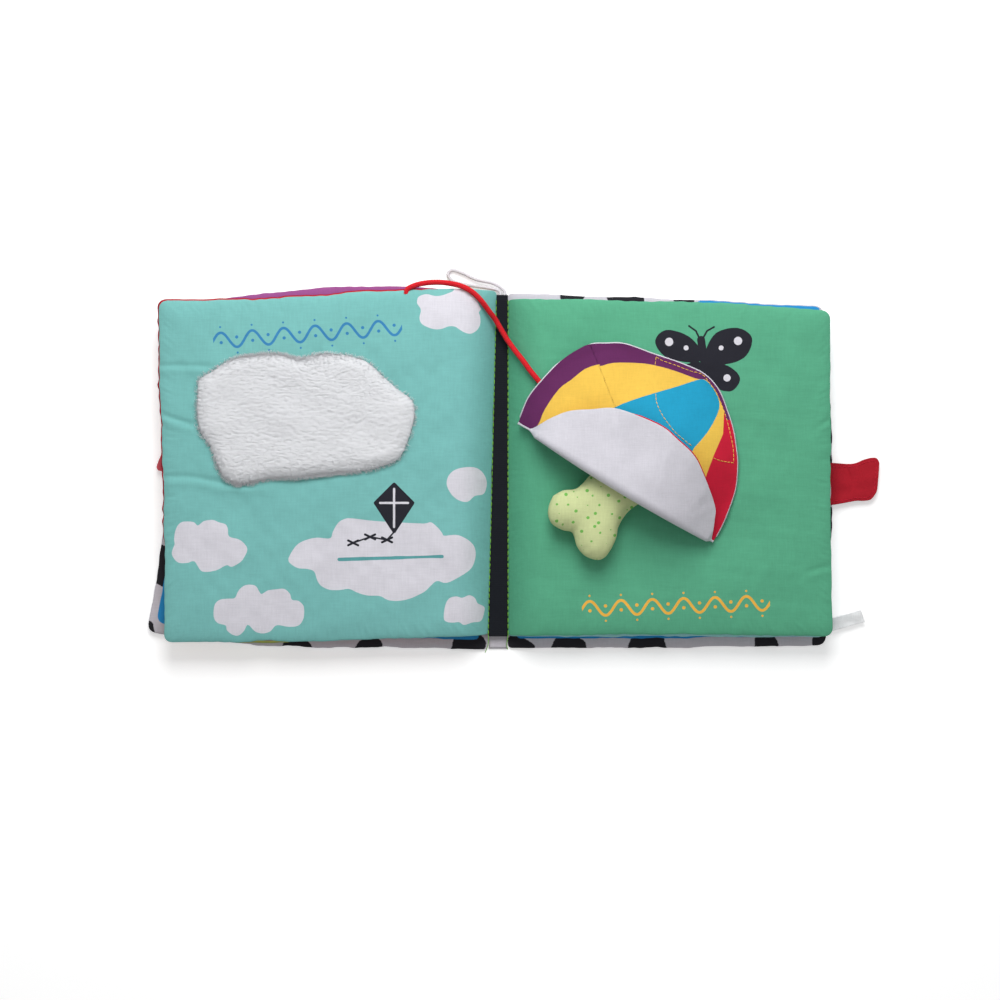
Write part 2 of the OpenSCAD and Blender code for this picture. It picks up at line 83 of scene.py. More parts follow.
# Each panel: its side of the spine, its level above the table, its width and height, how far
# its corners lie from square, and the bow and swing of its bottom, right, top and left edge
PANELS = {
    "left_cover": (-1, 0, 184, 195, ((0, -2), (-6.3, 8.2), (-2.8, -3), (0, 0.5)),
                   ((3.6, 1.2), (0, 0), (1, 0), (-6, 1.2))),
    "purple_leaf": (-1, 1, 180, 186, ((0, 4), (1.8, 1.5), (0.2, -0.5), (0, 4.5)),
                    ((1.4, 1.9), (0, 0), (7, 1), (0, 0))),
    "sky_leaf": (-1, 2, 180, 186, ((0, 2.2), (0.8, -1.6), (-6.4, 1), (0, 7.2)),
                 ((0.8, 0), (0, 0), (0.2, 1.2), (-1, 0.6))),
    "right_cover": (1, 0, 184, 195, ((0, -1), (-6.8, 0.5), (-8.2, -5.2), (0, 1.7)),
                    ((0.4, 0), (4.5, 0), (0.4, 0), (0, 0))),
    "inner_leaf": (1, 1, 180, 186, ((0, 1.2), (-3, 1), (-4, -6), (0, 0)),
                   ((0, 0), (0, 0), (0, 0), (0, 0))),
    "ball_leaf": (1, 2, 180, 186, ((0, 1.7), (-0.7, 1.7), (-1.9, -4.8), (0, 2.4)),
                  ((-1.2, 0), (-0.6, 0), (1.7, 0.5), (0, 0))),
}

# The tether comes out of the top seam of the sky page, crosses the gutter and goes under the flap
TETHER_LEFT = [
    (-51.5, 97.4, 16.8), (-50, 100.6, 17), (-44, 103, 17), (-36, 104, 17), (-28, 103.5, 17.6), (-20, 101.5, 18.4),
    (-14, 98, 18), (-9.5, 93.5, 16.6), (-6, 89, 13.8), (-2.3, 84.3, 10.4), (0.6, 79.4, 9.4),
    (3, 75.4, 9.5),
]
TETHER_RIGHT = [
    (4.6, 72.7, 10.1), (8.5, 67, 13.4), (13, 61, 18.2), (18, 54, 21.4), (24, 47.2, 23),
    (32, 42, 23.4), (42, 38, 23.6), (54, 34.5, 24), (66, 32, 24.4), (78, 31, 24.6),
    (89, 30, 25), (96, 26, 26), (97, 22, 27),
]
LOOP = [
    (3, 96.65, 2.7), (2.8, 100.6, 2.7), (-3, 104.6, 2.5), (-13, 107, 2), (-20, 110.4, 1.5),
    (-26, 112.2, 1.2), (-28.5, 110, 1.2), (-26.5, 106.6, 1.3), (-20, 104.4, 1.6),
    (-12, 103, 2.2), (-5, 102, 2.6), (0.2, 100.4, 2.7), (0.6, 96.65, 2.7),
]

# The ball flap: its middle, its radius, and the line that it is folded along
BALL_MID = np.array([70.7, 4.3])
BALL_R = 63.6
FOLD_D = 12.3
FOLD_R = 4.4
FOLD_TURN = math.radians(-31.3)
ALONG = np.array([math.cos(FOLD_TURN), math.sin(FOLD_TURN)])
AWAY = np.array([-math.sin(FOLD_TURN), math.cos(FOLD_TURN)])

BONE_MID = BALL_MID + 2 * ALONG - (3 + FOLD_D) * AWAY
BONE_T = 16.0


def srgb(red, green, blue):
    """Turns a colour as a screen shows it, 0 to 255, into scene values."""
    shares = [c / 255 for c in (red, green, blue)]
    return tuple(c / 12.92 if c <= 0.04045 else ((c + 0.055) / 1.055) ** 2.4 for c in shares)


def dyed(name, red, green, blue):
    """A colour property of one cloth or thread."""
    return FloatVectorProperty(
        name=name, description=f"Colour of {name.lower()}", subtype="COLOR", size=3,
        min=0, max=1, default=srgb(red, green, blue))


def length(name, description, default, low, high):
    """A length property, in metres as Blender keeps it."""
    return FloatProperty(
        name=name, description=description, default=default * MM, min=low * MM, max=high * MM,
        unit="LENGTH", subtype="DISTANCE", precision=5)


class BookColours(PropertyGroup):
    sky: dyed("The sky page", 122, 187, 183)
    cloud: dyed("The printed clouds", 216, 214, 222)
    teal_line: dyed("The line on the big cloud", 92, 160, 162)
    print_dark: dyed("The dark print", 41, 41, 49)
    print_blue: dyed("The blue border print", 62, 132, 182)
    print_orange: dyed("The orange border print", 240, 181, 75)
    green: dyed("The green page", 90, 169, 134)
    fleece: dyed("The fleece", 219, 220, 223)
    purple: dyed("The purple cloth of the ball", 99, 43, 91)
    yellow: dyed("The yellow cloth of the ball", 231, 189, 81)
    blue: dyed("The blue cloth of the ball", 35, 152, 190)
    red: dyed("The red cloth of the ball", 202, 32, 58)
    white: dyed("The white lining", 212, 210, 218)
    leaf: dyed("The purple leaf", 152, 82, 141)
    lime: dyed("The lime back cloth", 196, 208, 110)
    back_red: dyed("The red back cloth", 190, 38, 52)
    pale_teal: dyed("The pale teal leaf", 150, 205, 205)
    cover: dyed("The white of the cover", 198, 194, 201)
    cover_blue: dyed("The blue field of the cover", 45, 140, 200)
    tape: dyed("The ribbed tape", 27, 29, 35)
    thread: dyed("The thread along the tape", 128, 192, 70)
    ball_thread: dyed("The thread on the ball", 240, 190, 90)
    bone: dyed("The bone", 205, 214, 158)
    bone_dots: dyed("The dots on the bone", 118, 186, 88)
    tether: dyed("The tether", 214, 32, 42)
    loop: dyed("The hanging loop", 222, 219, 224)
    tab: dyed("The closing tab", 172, 30, 44)
    label: dyed("The care label", 238, 239, 240)


class BookSizes(PropertyGroup):
    swell: length("Swell", "Height of the soft swells of a page", 0.5, 0, 0.7)
    pucker: length("Pucker", "Depth of the puckers along a seam", 0.3, 0, 0.6)
    thread: length("Thread", "Thickness of the sewing thread", 0.5, 0.2, 0.8)
    stitch: length("Stitch", "Length of one stitch along the tape", 2.6, 1.5, 3)
    pile: length("Pile", "Height of the curls of the fleece", 0.4, 0.2, 3)
    curl: length("Curl", "Distance between two curls of the fleece", 1.9, 1.2, 6)
    fibre: length("Fibre", "Length of the loose fibres of the fleece", 2.6, 1, 5)
    fibres: IntProperty(
        name="Fibres", description="Number of loose fibres", default=11500, min=0, max=14000)
    braid: length("Braid", "Length of one turn of the braid of the tether", 5.5, 3, 12)
    weave: length("Weave", "Distance between two threads of the page cloth", 0.45, 0.2, 1)
    seed: IntProperty(name="Seed", description="Start of the irregular folds", default=7, min=0)


def colours():
    return bpy.context.scene.book_colours


def sizes():
    return bpy.context.scene.book_sizes


# Shapes


def paper(points, z=PAPER_Z):
    """Places in millimetres, at height z, of points drawn on the squared paper."""
    flat = (np.asarray(points, float) - PAPER_ZERO) * (SQUARE, -SQUARE)
    eye = np.array(CAMERA_AT[:2])
    return eye + (flat - eye) * (CAMERA_AT[2] - z) / (CAMERA_AT[2] - PAPER_Z)


def ease(t):
    t = np.clip(t, 0, 1)
    return t * t * (3 - 2 * t)


def waves(xy, size, seed, count=9):
    """Smooth noise of about -1 to 1 over flat places, from a few crossing waves."""
    rng = np.random.default_rng(seed)
    total = np.zeros(len(xy))
    for _ in range(count):
        turn = rng.uniform(0, 2 * math.pi)
        pitch = size * rng.uniform(0.7, 1.6)
        phase = rng.uniform(0, 2 * math.pi)
        run = xy[:, 0] * math.cos(turn) + xy[:, 1] * math.sin(turn)
        total += np.sin(run * 2 * math.pi / pitch + phase)
    return total / math.sqrt(count)


def smooth_line(points, parts, closed=False):
    """A smooth line through points, with parts steps between two of them."""
    points = np.asarray(points, float)
    n = len(points)
    steps = np.arange(parts)[:, None] / parts
    runs = []
    for i in range(n if closed else n - 1):
        if closed:
            a, b, c, d = (points[(i + k) % n] for k in (-1, 0, 1, 2))
        else:
            a, b, c, d = (points[min(n - 1, max(0, i + k))] for k in (-1, 0, 1, 2))
        bend = (2 * a - 5 * b + 4 * c - d) * steps ** 2 + (3 * b - a - 3 * c + d) * steps ** 3
        runs.append(0.5 * (2 * b + (c - a) * steps + bend))
    if not closed:
        runs.append(points[-1:])
    return np.vstack(runs)


def run_of(line):
    """Distance of each point of a line from its start."""
    return np.concatenate([[0], np.cumsum(np.linalg.norm(np.diff(line, axis=0), axis=1))])


def along_line(line, shares):
    """Points of a line at shares of its length."""
    run = run_of(line)
    spots = np.asarray(shares) * run[-1]
    return np.stack([np.interp(spots, run, line[:, k]) for k in range(line.shape[1])], axis=1)


def to_line(xy, line, reach=1e9):
    """Distance of each place to an open line, for places nearer than reach to its box."""
    best = np.full(len(xy), float(reach))
    near = np.all((xy > line.min(0) - reach) & (xy < line.max(0) + reach), axis=1)
    places = xy[near]
    found = np.full(len(places), float(reach))
    for p, q in zip(line[:-1], line[1:]):
        d = q - p
        t = np.clip((places - p) @ d / max(d @ d, 1e-9), 0, 1)
        found = np.minimum(found, np.linalg.norm(places - (p + t[:, None] * d), axis=1))
    best[near] = found
    return best


def to_outline(xy, outline, reach=6.0):
    """Distance of each place to a closed outline, negative inside it."""
    ring = np.vstack([outline, outline[:1]])
    distance = to_line(xy, ring, reach)
    inside = np.zeros(len(xy), bool)
    for p, q in zip(ring[:-1], ring[1:]):
        crosses = (p[1] > xy[:, 1]) != (q[1] > xy[:, 1])
        slope = (q[0] - p[0]) / (q[1] - p[1] if abs(q[1] - p[1]) > 1e-9 else 1e-9)
        inside ^= crosses & (xy[:, 0] < p[0] + slope * (xy[:, 1] - p[1]))
    return np.where(inside, -distance, distance)


def to_disc(xy, middle, radius):
    return np.linalg.norm(xy - np.asarray(middle), axis=1) - radius


def near_shares(total, pitch, near):
    """Shares of a length for the lines of a grid, closer together near its two ends."""
    near = np.asarray(near)
    count = max(2, round((total - 2 * near[-1]) / pitch))
    inner = np.linspace(near[-1], total - near[-1], count + 1)
    return np.concatenate([[0], near[:-1], inner, total - near[-2::-1], [total]]) / total


def grid_inside(sides, pitch, near=(0.12, 0.4, 0.8, 1.4, 2.1)):
    """A grid of places inside four sides that follow each other counter-clockwise."""
    low, right = sides[0], sides[1]
    high, left = sides[2][::-1], sides[3][::-1]
    us = near_shares((run_of(low)[-1] + run_of(high)[-1]) / 2, pitch, near)
    vs = near_shares((run_of(left)[-1] + run_of(right)[-1]) / 2, pitch, near)
    b, t = along_line(low, us), along_line(high, us)
    l, r = along_line(left, vs), along_line(right, vs)
    u, v = us[None, :, None], vs[:, None, None]
    ruled = (1 - v) * b[None] + v * t[None] + (1 - u) * l[:, None] + u * r[:, None]
    twice = (1 - u) * (1 - v) * b[0] + u * (1 - v) * b[-1] + (1 - u) * v * t[0] + u * v * t[-1]
    return ruled - twice


def grid_quads(index):
    """Faces of a grid of vertex numbers, facing up when it runs right and up."""
    return np.stack(
        [index[:-1, :-1], index[:-1, 1:], index[1:, 1:], index[1:, :-1]], -1).reshape(-1, 4)


def new_piece(name, points, faces, finishes, which=None, marks=None, smooth=True):
    """A mesh from points in millimetres. Its shader reads the points at rest and the marks."""
    points = np.asarray(points, float)
    mesh = bpy.data.meshes.new(name)
    mesh.from_pydata((points * MM).tolist(), [], [tuple(int(i) for i in f) for f in faces])
    rest = mesh.attributes.new("rest", "FLOAT_VECTOR", "POINT")
    rest.data.foreach_set("vector", points.astype(np.float32).ravel())
    for mark, values in (marks or {}).items():
        layer = mesh.attributes.new(mark, "FLOAT", "POINT")
        layer.data.foreach_set("value", np.asarray(values, np.float32))
    for finish in finishes:
        mesh.materials.append(finish)
    if which is not None:
        mesh.polygons.foreach_set("material_index", np.asarray(which, np.int32))
    mesh.polygons.foreach_set("use_smooth", np.full(len(mesh.polygons), smooth))
    mesh.update()
    piece = bpy.data.objects.new(name, mesh)
    bpy.context.scene.collection.objects.link(piece)
    return piece


def closed_pad(grid, middle, face_z, back_z, seam_z, scales, lap=None):
    """Points and faces of a pad: a fine grid on its face, and rings on its back. lap gives how
    much further than the seam the first ring of the back reaches, as a share."""
    rows, cols = grid.shape[:2]
    index = np.arange(rows * cols).reshape(rows, cols)
    border = np.concatenate(
        [index[0, :-1], index[:-1, -1], index[-1, :0:-1], index[:0:-1, 0]])
    xy = grid.reshape(-1, 2)
    z = face_z(xy)
    z[border] = seam_z(xy[border])
    points = [np.column_stack([xy, z])]
    faces = grid_quads(index).tolist()
    face_count = len(faces)
    n = len(border)
    outer = border
    start = rows * cols
    for k, s in enumerate(scales):
        wide = s if lap is None or k else s + lap(xy[border])[:, None]
        ring = middle + wide * (xy[border] - middle)
        depth = back_z(ring) if k or lap is None else seam_z(ring) - 0.15
        points.append(np.column_stack([ring, depth]))
        inner = np.arange(start, start + n)
        faces += np.stack(
            [outer, inner, np.roll(inner, -1), np.roll(outer, -1)], 1).tolist()
        outer = inner
        start += n
    points.append(np.column_stack([[middle], back_z(np.array([middle]))]))
    faces += [(b, a, start) for a, b in zip(outer, np.roll(outer, -1))]
    which = np.zeros(len(faces), int)
    which[face_count:] = 1
    return np.vstack(points), faces, which


def spine_x(side, y):
    """Edge of the spine strip at a height y, on the left or the right side."""
    if side > 0:
        return np.full(np.shape(y), SPINE_RIGHT)
    slope = (SPINE_LEFT_TOP - SPINE_LEFT_BOTTOM) / (SPINE_TOP - SPINE_BOTTOM)
    return SPINE_LEFT_BOTTOM + (np.asarray(y, float) - SPINE_BOTTOM) * slope


def from_spine(side, xy):
    return side * (xy[:, 0] - spine_x(side, xy[:, 1]))


def dip(u):
    """How far a panel has risen to its full height at a distance u from the spine."""
    return 1 - (1 - np.clip(u / DIP_W, 0, 1)) ** 2.2


def fullness(s):
    """How full the padding is on the ring of scale s."""
    return (1 - np.clip(s, 0, 1) ** 8) ** 0.6


def seam_height(level, u):
    low = CLOTH_T + 1.5 * level
    high = CLOTH_T + PAD_DOWN + 6.9 * level
    return low + (high - low) * dip(u)


def page_z(side, xy):
    """Height of the top page under a place, at the full height of its padding."""
    return seam_height(2, from_spine(side, xy)) + CLOTH_T + PAD_UP * dip(from_spine(side, xy))


class Pad:
    """The outline and the heights of one padded panel."""

    def __init__(self, name, wave=0.35):
        self.name = name
        self.side, self.level, width, height, lie, self.bows = PANELS[name]
        half = height / 2
        inner = [float(spine_x(self.side, y)) + self.side * 0.15
                 for y in (lie[0][1] - half, half + lie[3][1])]
        outer = [float(spine_x(self.side, y)) + self.side * width for y in (-half, half)]
        corners = [
            (inner[0], lie[0][1] - half), (outer[0] + lie[1][0], lie[1][1] - half),
            (outer[1] + lie[2][0], half + lie[2][1]), (inner[1], half + lie[3][1])]
        if self.side < 0:
            corners = [corners[1], corners[0], corners[3], corners[2]]
        self.corners = np.array(corners)
        self.middle = self.corners.mean(0)
        self.sides = self.drawn_sides(wave)
        self.outline = np.vstack([side[:-1] for side in self.sides])
        offset = self.outline - self.middle
        turn = np.arctan2(offset[:, 1], offset[:, 0])
        order = np.argsort(turn)
        self.turn = turn[order]
        self.reach = np.linalg.norm(offset, axis=1)[order]
        self.place = run_of(self.outline)[order]

    def drawn_sides(self, wave):
        """Its bottom, right, top and left side, each from the middle of a corner to the next."""
        edges = []
        outside = [k for k in range(4) if (k in (1, 2)) == (self.side > 0)]
        radii = [OUTER_CORNER_R if k in outside else INNER_CORNER_R for k in range(4)]
        for i in range(4):
            a, b = self.corners[i], self.corners[(i + 1) % 4]
            total = np.linalg.norm(b - a)
            out = np.array([b[1] - a[1], a[0] - b[0]]) / total
            t = np.linspace(radii[i] / total, 1 - radii[(i + 1) % 4] / total, 160)[:, None]
            bow, swing = self.bows[i]
            ends = np.sin(np.pi * t) ** 0.5
            seed = i + 10 * self.level + 3
            ripple = waves(a + (b - a) * t, 30, seed) + 0.5 * waves(a + (b - a) * t, 8, seed + 50)
            ripple = wave * ends * ripple[:, None]
            push = bow * np.sin(np.pi * t) + swing * np.sin(2 * np.pi * t) + ripple
            edges.append(a + (b - a) * t + out * push)

        def arc(i, low, high):
            t = np.linspace(low, high, 9)[:, None]
            p, q = edges[i - 1][-1], edges[i % 4][0]
            return (1 - t) ** 2 * p + 2 * t * (1 - t) * self.corners[i % 4] + t ** 2 * q

        return [np.vstack([arc(i, 0.5, 1)[:-1], edges[i], arc(i + 1, 0, 0.5)[1:]])
                for i in range(4)]

    def share(self, xy):
        """1 on the seam, 0 in the middle, and the place along the seam."""
        offset = xy - self.middle
        turn = np.arctan2(offset[:, 1], offset[:, 0])
        reach = np.interp(turn, self.turn, self.reach, period=2 * np.pi)
        place = np.interp(turn, self.turn, self.place, period=2 * np.pi)
        return np.linalg.norm(offset, axis=1) / reach, place

    def seam(self, xy):
        return seam_height(self.level, from_spine(self.side, xy))

    def plain_face(self, xy):
        u = from_spine(self.side, xy)
        s, _ = self.share(xy)
        return seam_height(self.level, u) + (CLOTH_T + PAD_UP * dip(u)) * fullness(s)

    def back(self, xy):
        u = from_spine(self.side, xy)
        s, _ = self.share(xy)
        return seam_height(self.level, u) - (CLOTH_T + PAD_DOWN * dip(u)) * fullness(s)

    def puckers(self, xy):
        """Small gathers that run in from the seam."""
        s, place = self.share(xy)
        inward = (1 - s) * 90
        flat = np.column_stack([place, inward * 0.12])
        gather = waves(flat, 7, 40 + self.level, 6) + 0.7 * waves(flat, 3.6, 50 + self.level, 5)
        depth = sizes().pucker / MM
        return depth * 0.5 * gather * np.exp(-((inward - 2.2) / 4.5) ** 2) * dip(inward * 3)

    def swells(self, xy):
        """Soft swells of the stuffing, which die out at the seam and at the spine."""
        u = from_spine(self.side, xy)
        s, _ = self.share(xy)
        height = sizes().swell / MM
        seed = 60 + self.level + 5 * self.side
        swell = waves(xy, 46, seed) + 0.5 * waves(xy, 21, seed + 1) + 0.22 * waves(xy, 9, seed + 2)
        return -height * (1.1 + 0.9 * swell) * (1 - np.clip(s, 0, 1) ** 6) * dip(u / 1.4)


def crease(xy, line, depth, width):
    """A fold line pressed into a page, with a low ridge on its lower side."""
    distance = to_line(xy, line, 6 * width)
    lower = to_line(xy, line - np.array([0, 1.9 * width]), 6 * width)
    ends = ease(np.linalg.norm(xy - line[0], axis=1) / 4) * ease(
        np.linalg.norm(xy - line[-1], axis=1) / 9)
    valley = -depth * np.exp(-(distance / width) ** 2)
    return (valley + 0.6 * depth * np.exp(-(lower / (1.4 * width)) ** 2)) * ends


def tube(path, radius, around, relief=None):
    """Points and faces of a round tube along a path, closed at both ends. relief gives how
    much its surface stands out, from the run along it and the turn round it."""
    path = np.asarray(path, float)
    n = len(path)
    heading = np.gradient(path, axis=0)
    heading /= np.linalg.norm(heading, axis=1)[:, None]
    side = np.cross(heading, (0, 0, 1))
    side /= np.maximum(np.linalg.norm(side, axis=1), 1e-9)[:, None]
    up = np.cross(side, heading)
    turn = np.arange(around) * 2 * math.pi / around
    run = run_of(path)
    radii = np.full((n, around), float(radius)) if np.isscalar(radius) else (
        np.asarray(radius, float)[:, None] * np.ones(around))
    if relief is not None:
        radii = radii + relief(run[:, None], turn[None, :])
    ring = np.cos(turn)[None, :, None] * side[:, None] + np.sin(turn)[None, :, None] * up[:, None]
    points = (path[:, None] + radii[:, :, None] * ring).reshape(-1, 3)
    index = np.arange(n * around).reshape(n, around)
    after = np.roll(index, -1, axis=1)
    faces = np.stack(
        [index[:-1], index[1:], after[1:], after[:-1]], -1).reshape(-1, 4).tolist()
    ends = np.array([path[0], path[-1]])
    first = n * around
    faces += [(b, first, a) for a, b in zip(index[0], after[0])]
    faces += [(a, first + 1, b) for a, b in zip(index[-1], after[-1])]
    return np.vstack([points, ends]), faces


def joined(parts):
    """Joins points and faces of several small shapes."""
    points, faces, start = [], [], 0
    for some_points, some_faces in parts:
        points.append(some_points)
        faces += [tuple(i + start for i in face) for face in some_faces]
        start += len(some_points)
    return np.vstack(points), faces


def thread_along(line, stitch, gap, thickness, sink=0.35):
    """Stitches along a line: short arches of thread whose ends go into the cloth."""
    run = run_of(line)
    count = max(1, int((run[-1] + gap) / (stitch + gap)))
    parts = []
    for i in range(count):
        start = i * (stitch + gap)
        t = np.linspace(0, 1, 7)
        spots = start + t * stitch
        path = np.stack([np.interp(spots, run, line[:, k]) for k in range(3)], axis=1)
        path[:, 2] += thickness * (0.55 * np.sin(np.pi * t) ** 0.6 - sink)
        radius = thickness / 2 * (0.55 + 0.45 * np.sin(np.pi * t) ** 0.5)
        parts.append(tube(path, radius, 6))
    return joined(parts)


# Materials


class Signal:
    """A socket in shader maths. An expression on signals adds its Math nodes."""

    def __init__(self, finish, socket):
        self.finish = finish
        self.socket = socket

    def math(self, operation, *values):
        return self.finish.node(
            "ShaderNodeMath", {"operation": operation}, dict(enumerate(values)))

    def __add__(self, other):
        return self.math("ADD", self, other)

    __radd__ = __add__

    def __sub__(self, other):
        return self.math("SUBTRACT", self, other)

    def __rsub__(self, other):
        return self.math("SUBTRACT", other, self)

    def __mul__(self, other):
        return self.math("MULTIPLY", self, other)

    __rmul__ = __mul__

    def __truediv__(self, other):
        return self.math("DIVIDE", self, other)

    def __neg__(self):
        return self * -1.0

    def sine(self):
        return self.math("SINE", self)

    def root(self):
        return self.math("SQRT", self)

    def size(self):
        return self.math("ABSOLUTE", self)

    def wrapped(self, length):
        return self.math("FLOORED_MODULO", self, length)

    def least(self, other):
        return self.math("MINIMUM", self, other)

    def most(self, other):
        return self.math("MAXIMUM", self, other)


class Finish:
    """A material under construction."""

    def __init__(self, name):
        self.material = bpy.data.materials.new(name)
        self.material.use_nodes = True
        self.tree = self.material.node_tree
        self.tree.nodes.clear()

    def node(self, kind, settings=None, sockets=None, output=0):
        """Adds a node: its type, its settings, and the values or links of its sockets."""
        node = self.tree.nodes.new(kind)
        for name, value in (settings or {}).items():
            setattr(node, name, value)
        for key, value in (sockets or {}).items():
            socket = node.inputs[key]
            if isinstance(value, Signal):
                self.tree.links.new(value.socket, socket)
            elif socket.type == "RGBA" and len(value) == 3:
                socket.default_value = (*value, 1)
            else:
                socket.default_value = value
        return Signal(self, node.outputs[output]) if node.outputs else None

    def place(self, kept=False):
        """The place on the piece at rest, in millimetres. A kept CAD solid has no rest mark."""
        if not kept:
            return self.node("ShaderNodeAttribute", {"attribute_name": "rest"}, output="Vector")
        spot = self.node("ShaderNodeTexCoord", output="Object")
        return self.stretched(spot, (1 / MM, 1 / MM, 1 / MM))

    def mark(self, name):
        return self.node("ShaderNodeAttribute", {"attribute_name": name}, output="Fac")

    def stretched(self, vector, scale):
        return self.node("ShaderNodeVectorMath", {"operation": "MULTIPLY"}, {0: vector, 1: scale})

    def axes(self, vector):
        split = self.node("ShaderNodeSeparateXYZ", sockets={0: vector})
        return [Signal(self, split.socket.node.outputs[k]) for k in range(3)]

    def noise(self, vector, size, detail=2.0, roughness=0.5):
        return self.node(
            "ShaderNodeTexNoise", sockets={
                "Vector": vector, "Scale": 1 / size, "Detail": detail, "Roughness": roughness})

    def cells(self, vector, size, feature="F1", randomness=1.0):
        return self.node(
            "ShaderNodeTexVoronoi", {"feature": feature}, {
                "Vector": vector, "Scale": 1 / size, "Randomness": randomness},
            output="Distance")

    def step(self, value, start, end):
        """0 below start and 1 above end, with a soft change between them."""
        return self.node(
            "ShaderNodeMapRange", {"interpolation_type": "SMOOTHSTEP"},
            {0: value, 1: start, 2: end, 3: 0.0, 4: 1.0})

    def inside(self, distance, soft=0.07, ragged=0.0):
        """1 where a distance is negative. A name stands for the distance kept in that mark."""
        if isinstance(distance, str):
            distance = self.mark(distance)
        if ragged:
            distance = distance + (self.noise(self.place(), 1.6, 1.0) - 0.5) * ragged
        return 1 - self.step(distance, -soft, soft)

    def bar(self, start, end, half):
        """Distance to a straight bar between two flat places, less half its width."""
        x, y, _ = self.axes(self.place())
        run = math.dist(start, end)
        ahead = ((end[0] - start[0]) / run, (end[1] - start[1]) / run)
        dx, dy = x - start[0], y - start[1]
        along = dx * ahead[0] + dy * ahead[1]
        beyond = (along - run).most(-along).most(0.0)
        across = dx * ahead[1] - dy * ahead[0]
        return (across * across + beyond * beyond).root() - half

    def bars(self, places, half):
        """Distance to a line of straight bars through flat places."""
        best = self.bar(places[0], places[1], half)
        for start, end in zip(places[1:-1], places[2:]):
            best = best.least(self.bar(start, end, half))
        return best

    def garland(self, start, end, height, half, beads):
        """Distance to a waving line with a bead in each bend."""
        x, y, _ = self.axes(self.place())
        run = math.dist(start, end)
        ahead = ((end[0] - start[0]) / run, (end[1] - start[1]) / run)
        dx, dy = x - start[0], y - start[1]
        along = dx * ahead[0] + dy * ahead[1]
        across = dy * ahead[0] - dx * ahead[1]
        turn = beads * math.pi / run
        wave = (along * turn).sine()
        lean = (along * turn + math.pi / 2).sine() * (height * turn)
        line = (across - wave * height).size() / (lean * lean + 1.0).root() - half
        pair = 2 * run / beads
        best = line
        for share, way in ((0.25, 1), (0.75, -1)):
            cell = (along + pair * (0.5 - share)).wrapped(pair) - pair / 2
            for lift, radius in ((-0.3, half * 1.25), (1.75, half * 0.8)):
                off = across - way * height * lift
                best = best.least((cell * cell + off * off).root() - radius)
        return best.most(-along).most(along - run)

    def mix(self, share, first, second):
        return self.node(
            "ShaderNodeMix", {"data_type": "RGBA"}, {0: share, 6: first, 7: second}, output=2)

    def shaded(self, colour, amount):
        """A colour made lighter or darker by a signal of about -1 to 1."""
        factor = 1 + amount
        return self.node(
            "ShaderNodeVectorMath", {"operation": "SCALE"}, {0: colour, "Scale": factor})

    def done(self, colour, roughness, height=None, **constants):
        """Adds the shader. height is in millimetres."""
        sockets = {"Base Color": colour, "Roughness": roughness}
        if height is not None:
            sockets["Normal"] = self.node(
                "ShaderNodeBump", sockets={"Height": height, "Strength": 1.0, "Distance": MM})
        for name, value in constants.items():
            sockets[name.replace("_", " ").title().replace("Ior", "IOR")] = value
        shader = self.node("ShaderNodeBsdfPrincipled", sockets=sockets)
        self.node("ShaderNodeOutputMaterial", sockets={"Surface": shader})
        return self.material


def woven(name, colour, kept=False, drawn=None, pitch=None, crumple=0.1, sheen=0.03, tuck=None):
    """Plain cotton cloth. drawn(finish, colour) may add a print to its colour, and tuck names
    the mark that holds the distance to a sharp fold, which dents the cloth and darkens its colour as painted shade."""
    finish = Finish(name)
    place = finish.place(kept)
    pitch = pitch or sizes().weave / MM
    x, y, z = finish.axes(place)
    turn = 2 * math.pi / pitch
    threads = ((x + 0.5 * z) * turn).sine() * ((y + 0.5 * z) * turn).sine()
    slubs = finish.noise(finish.stretched(place, (1 / 7, 1 / 0.6, 1 / 3)), 1, 2.0) + finish.noise(
        finish.stretched(place, (1 / 0.6, 1 / 7, 1 / 3)), 1, 2.0)
    blotch = finish.noise(place, 17, 3.0, 0.6)
    base = drawn(finish, colour) if drawn else colour
    base = finish.shaded(
        base, (slubs - 1.0) * 0.15 + (blotch - 0.5) * 0.14 + threads * 0.04)
    wrinkle = finish.noise(place, 9, 3.0, 0.55) * crumple + finish.noise(place, 2.4, 2.0) * 0.05
    height = wrinkle + threads * 0.018 + slubs * 0.03
    if tuck:
        fold = 1 - finish.step(finish.mark(tuck), 0.05, 0.5)
        height = height - fold * 0.6
        # The fold also darkens the colour: a painted shadow in the tuck, on top of the real dent in the height.
        base = finish.shaded(base, fold * -0.1)
    roughness = 0.80 + (slubs - 1.0) * 0.12
    return finish.done(
        base, roughness, height, sheen_weight=sheen, sheen_roughness=0.45,
        specular_ior_level=0.1)


def printed(*layers):
    """A drawn print: layers of (mark or drawing, colour), each over the ones before it."""
    def draw(finish, colour):
        for shape, ink in layers:
            distance = shape(finish) if callable(shape) else shape
            colour = finish.mix(finish.inside(distance, ragged=0.12), colour, ink)
        return colour
    return draw


def threaded(name, colour, pitch=0.5, sheen=0.05):
    """Sewing thread or cord, twisted from finer strands."""
    finish = Finish(name)
    place = finish.place()
    x, y, z = finish.axes(place)
    strands = ((x + y + z) * (2 * math.pi / pitch)).sine()
    fuzz = finish.noise(place, 0.35, 2.0)
    base = finish.shaded(colour, strands * 0.10 + (fuzz - 0.5) * 0.3)
    return finish.done(
        base, 0.62 + fuzz * 0.2, strands * 0.03 + fuzz * 0.04, sheen_weight=sheen,
        sheen_roughness=0.4, specular_ior_level=0.15)


# Pieces


def dress(piece, slot, *nodes):
    """Lets a piece stand for CAD nodes by hiding them. Its slot is not used."""
    if nodes:
        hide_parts(*nodes)
    return piece


def bend(piece, side):
    """Bakes the place of a piece into its points."""
    half = "right_half" if side > 0 else "left_half"
    root = side * 4.7 * MM
    root + side * BEND_W * MM
    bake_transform(piece)


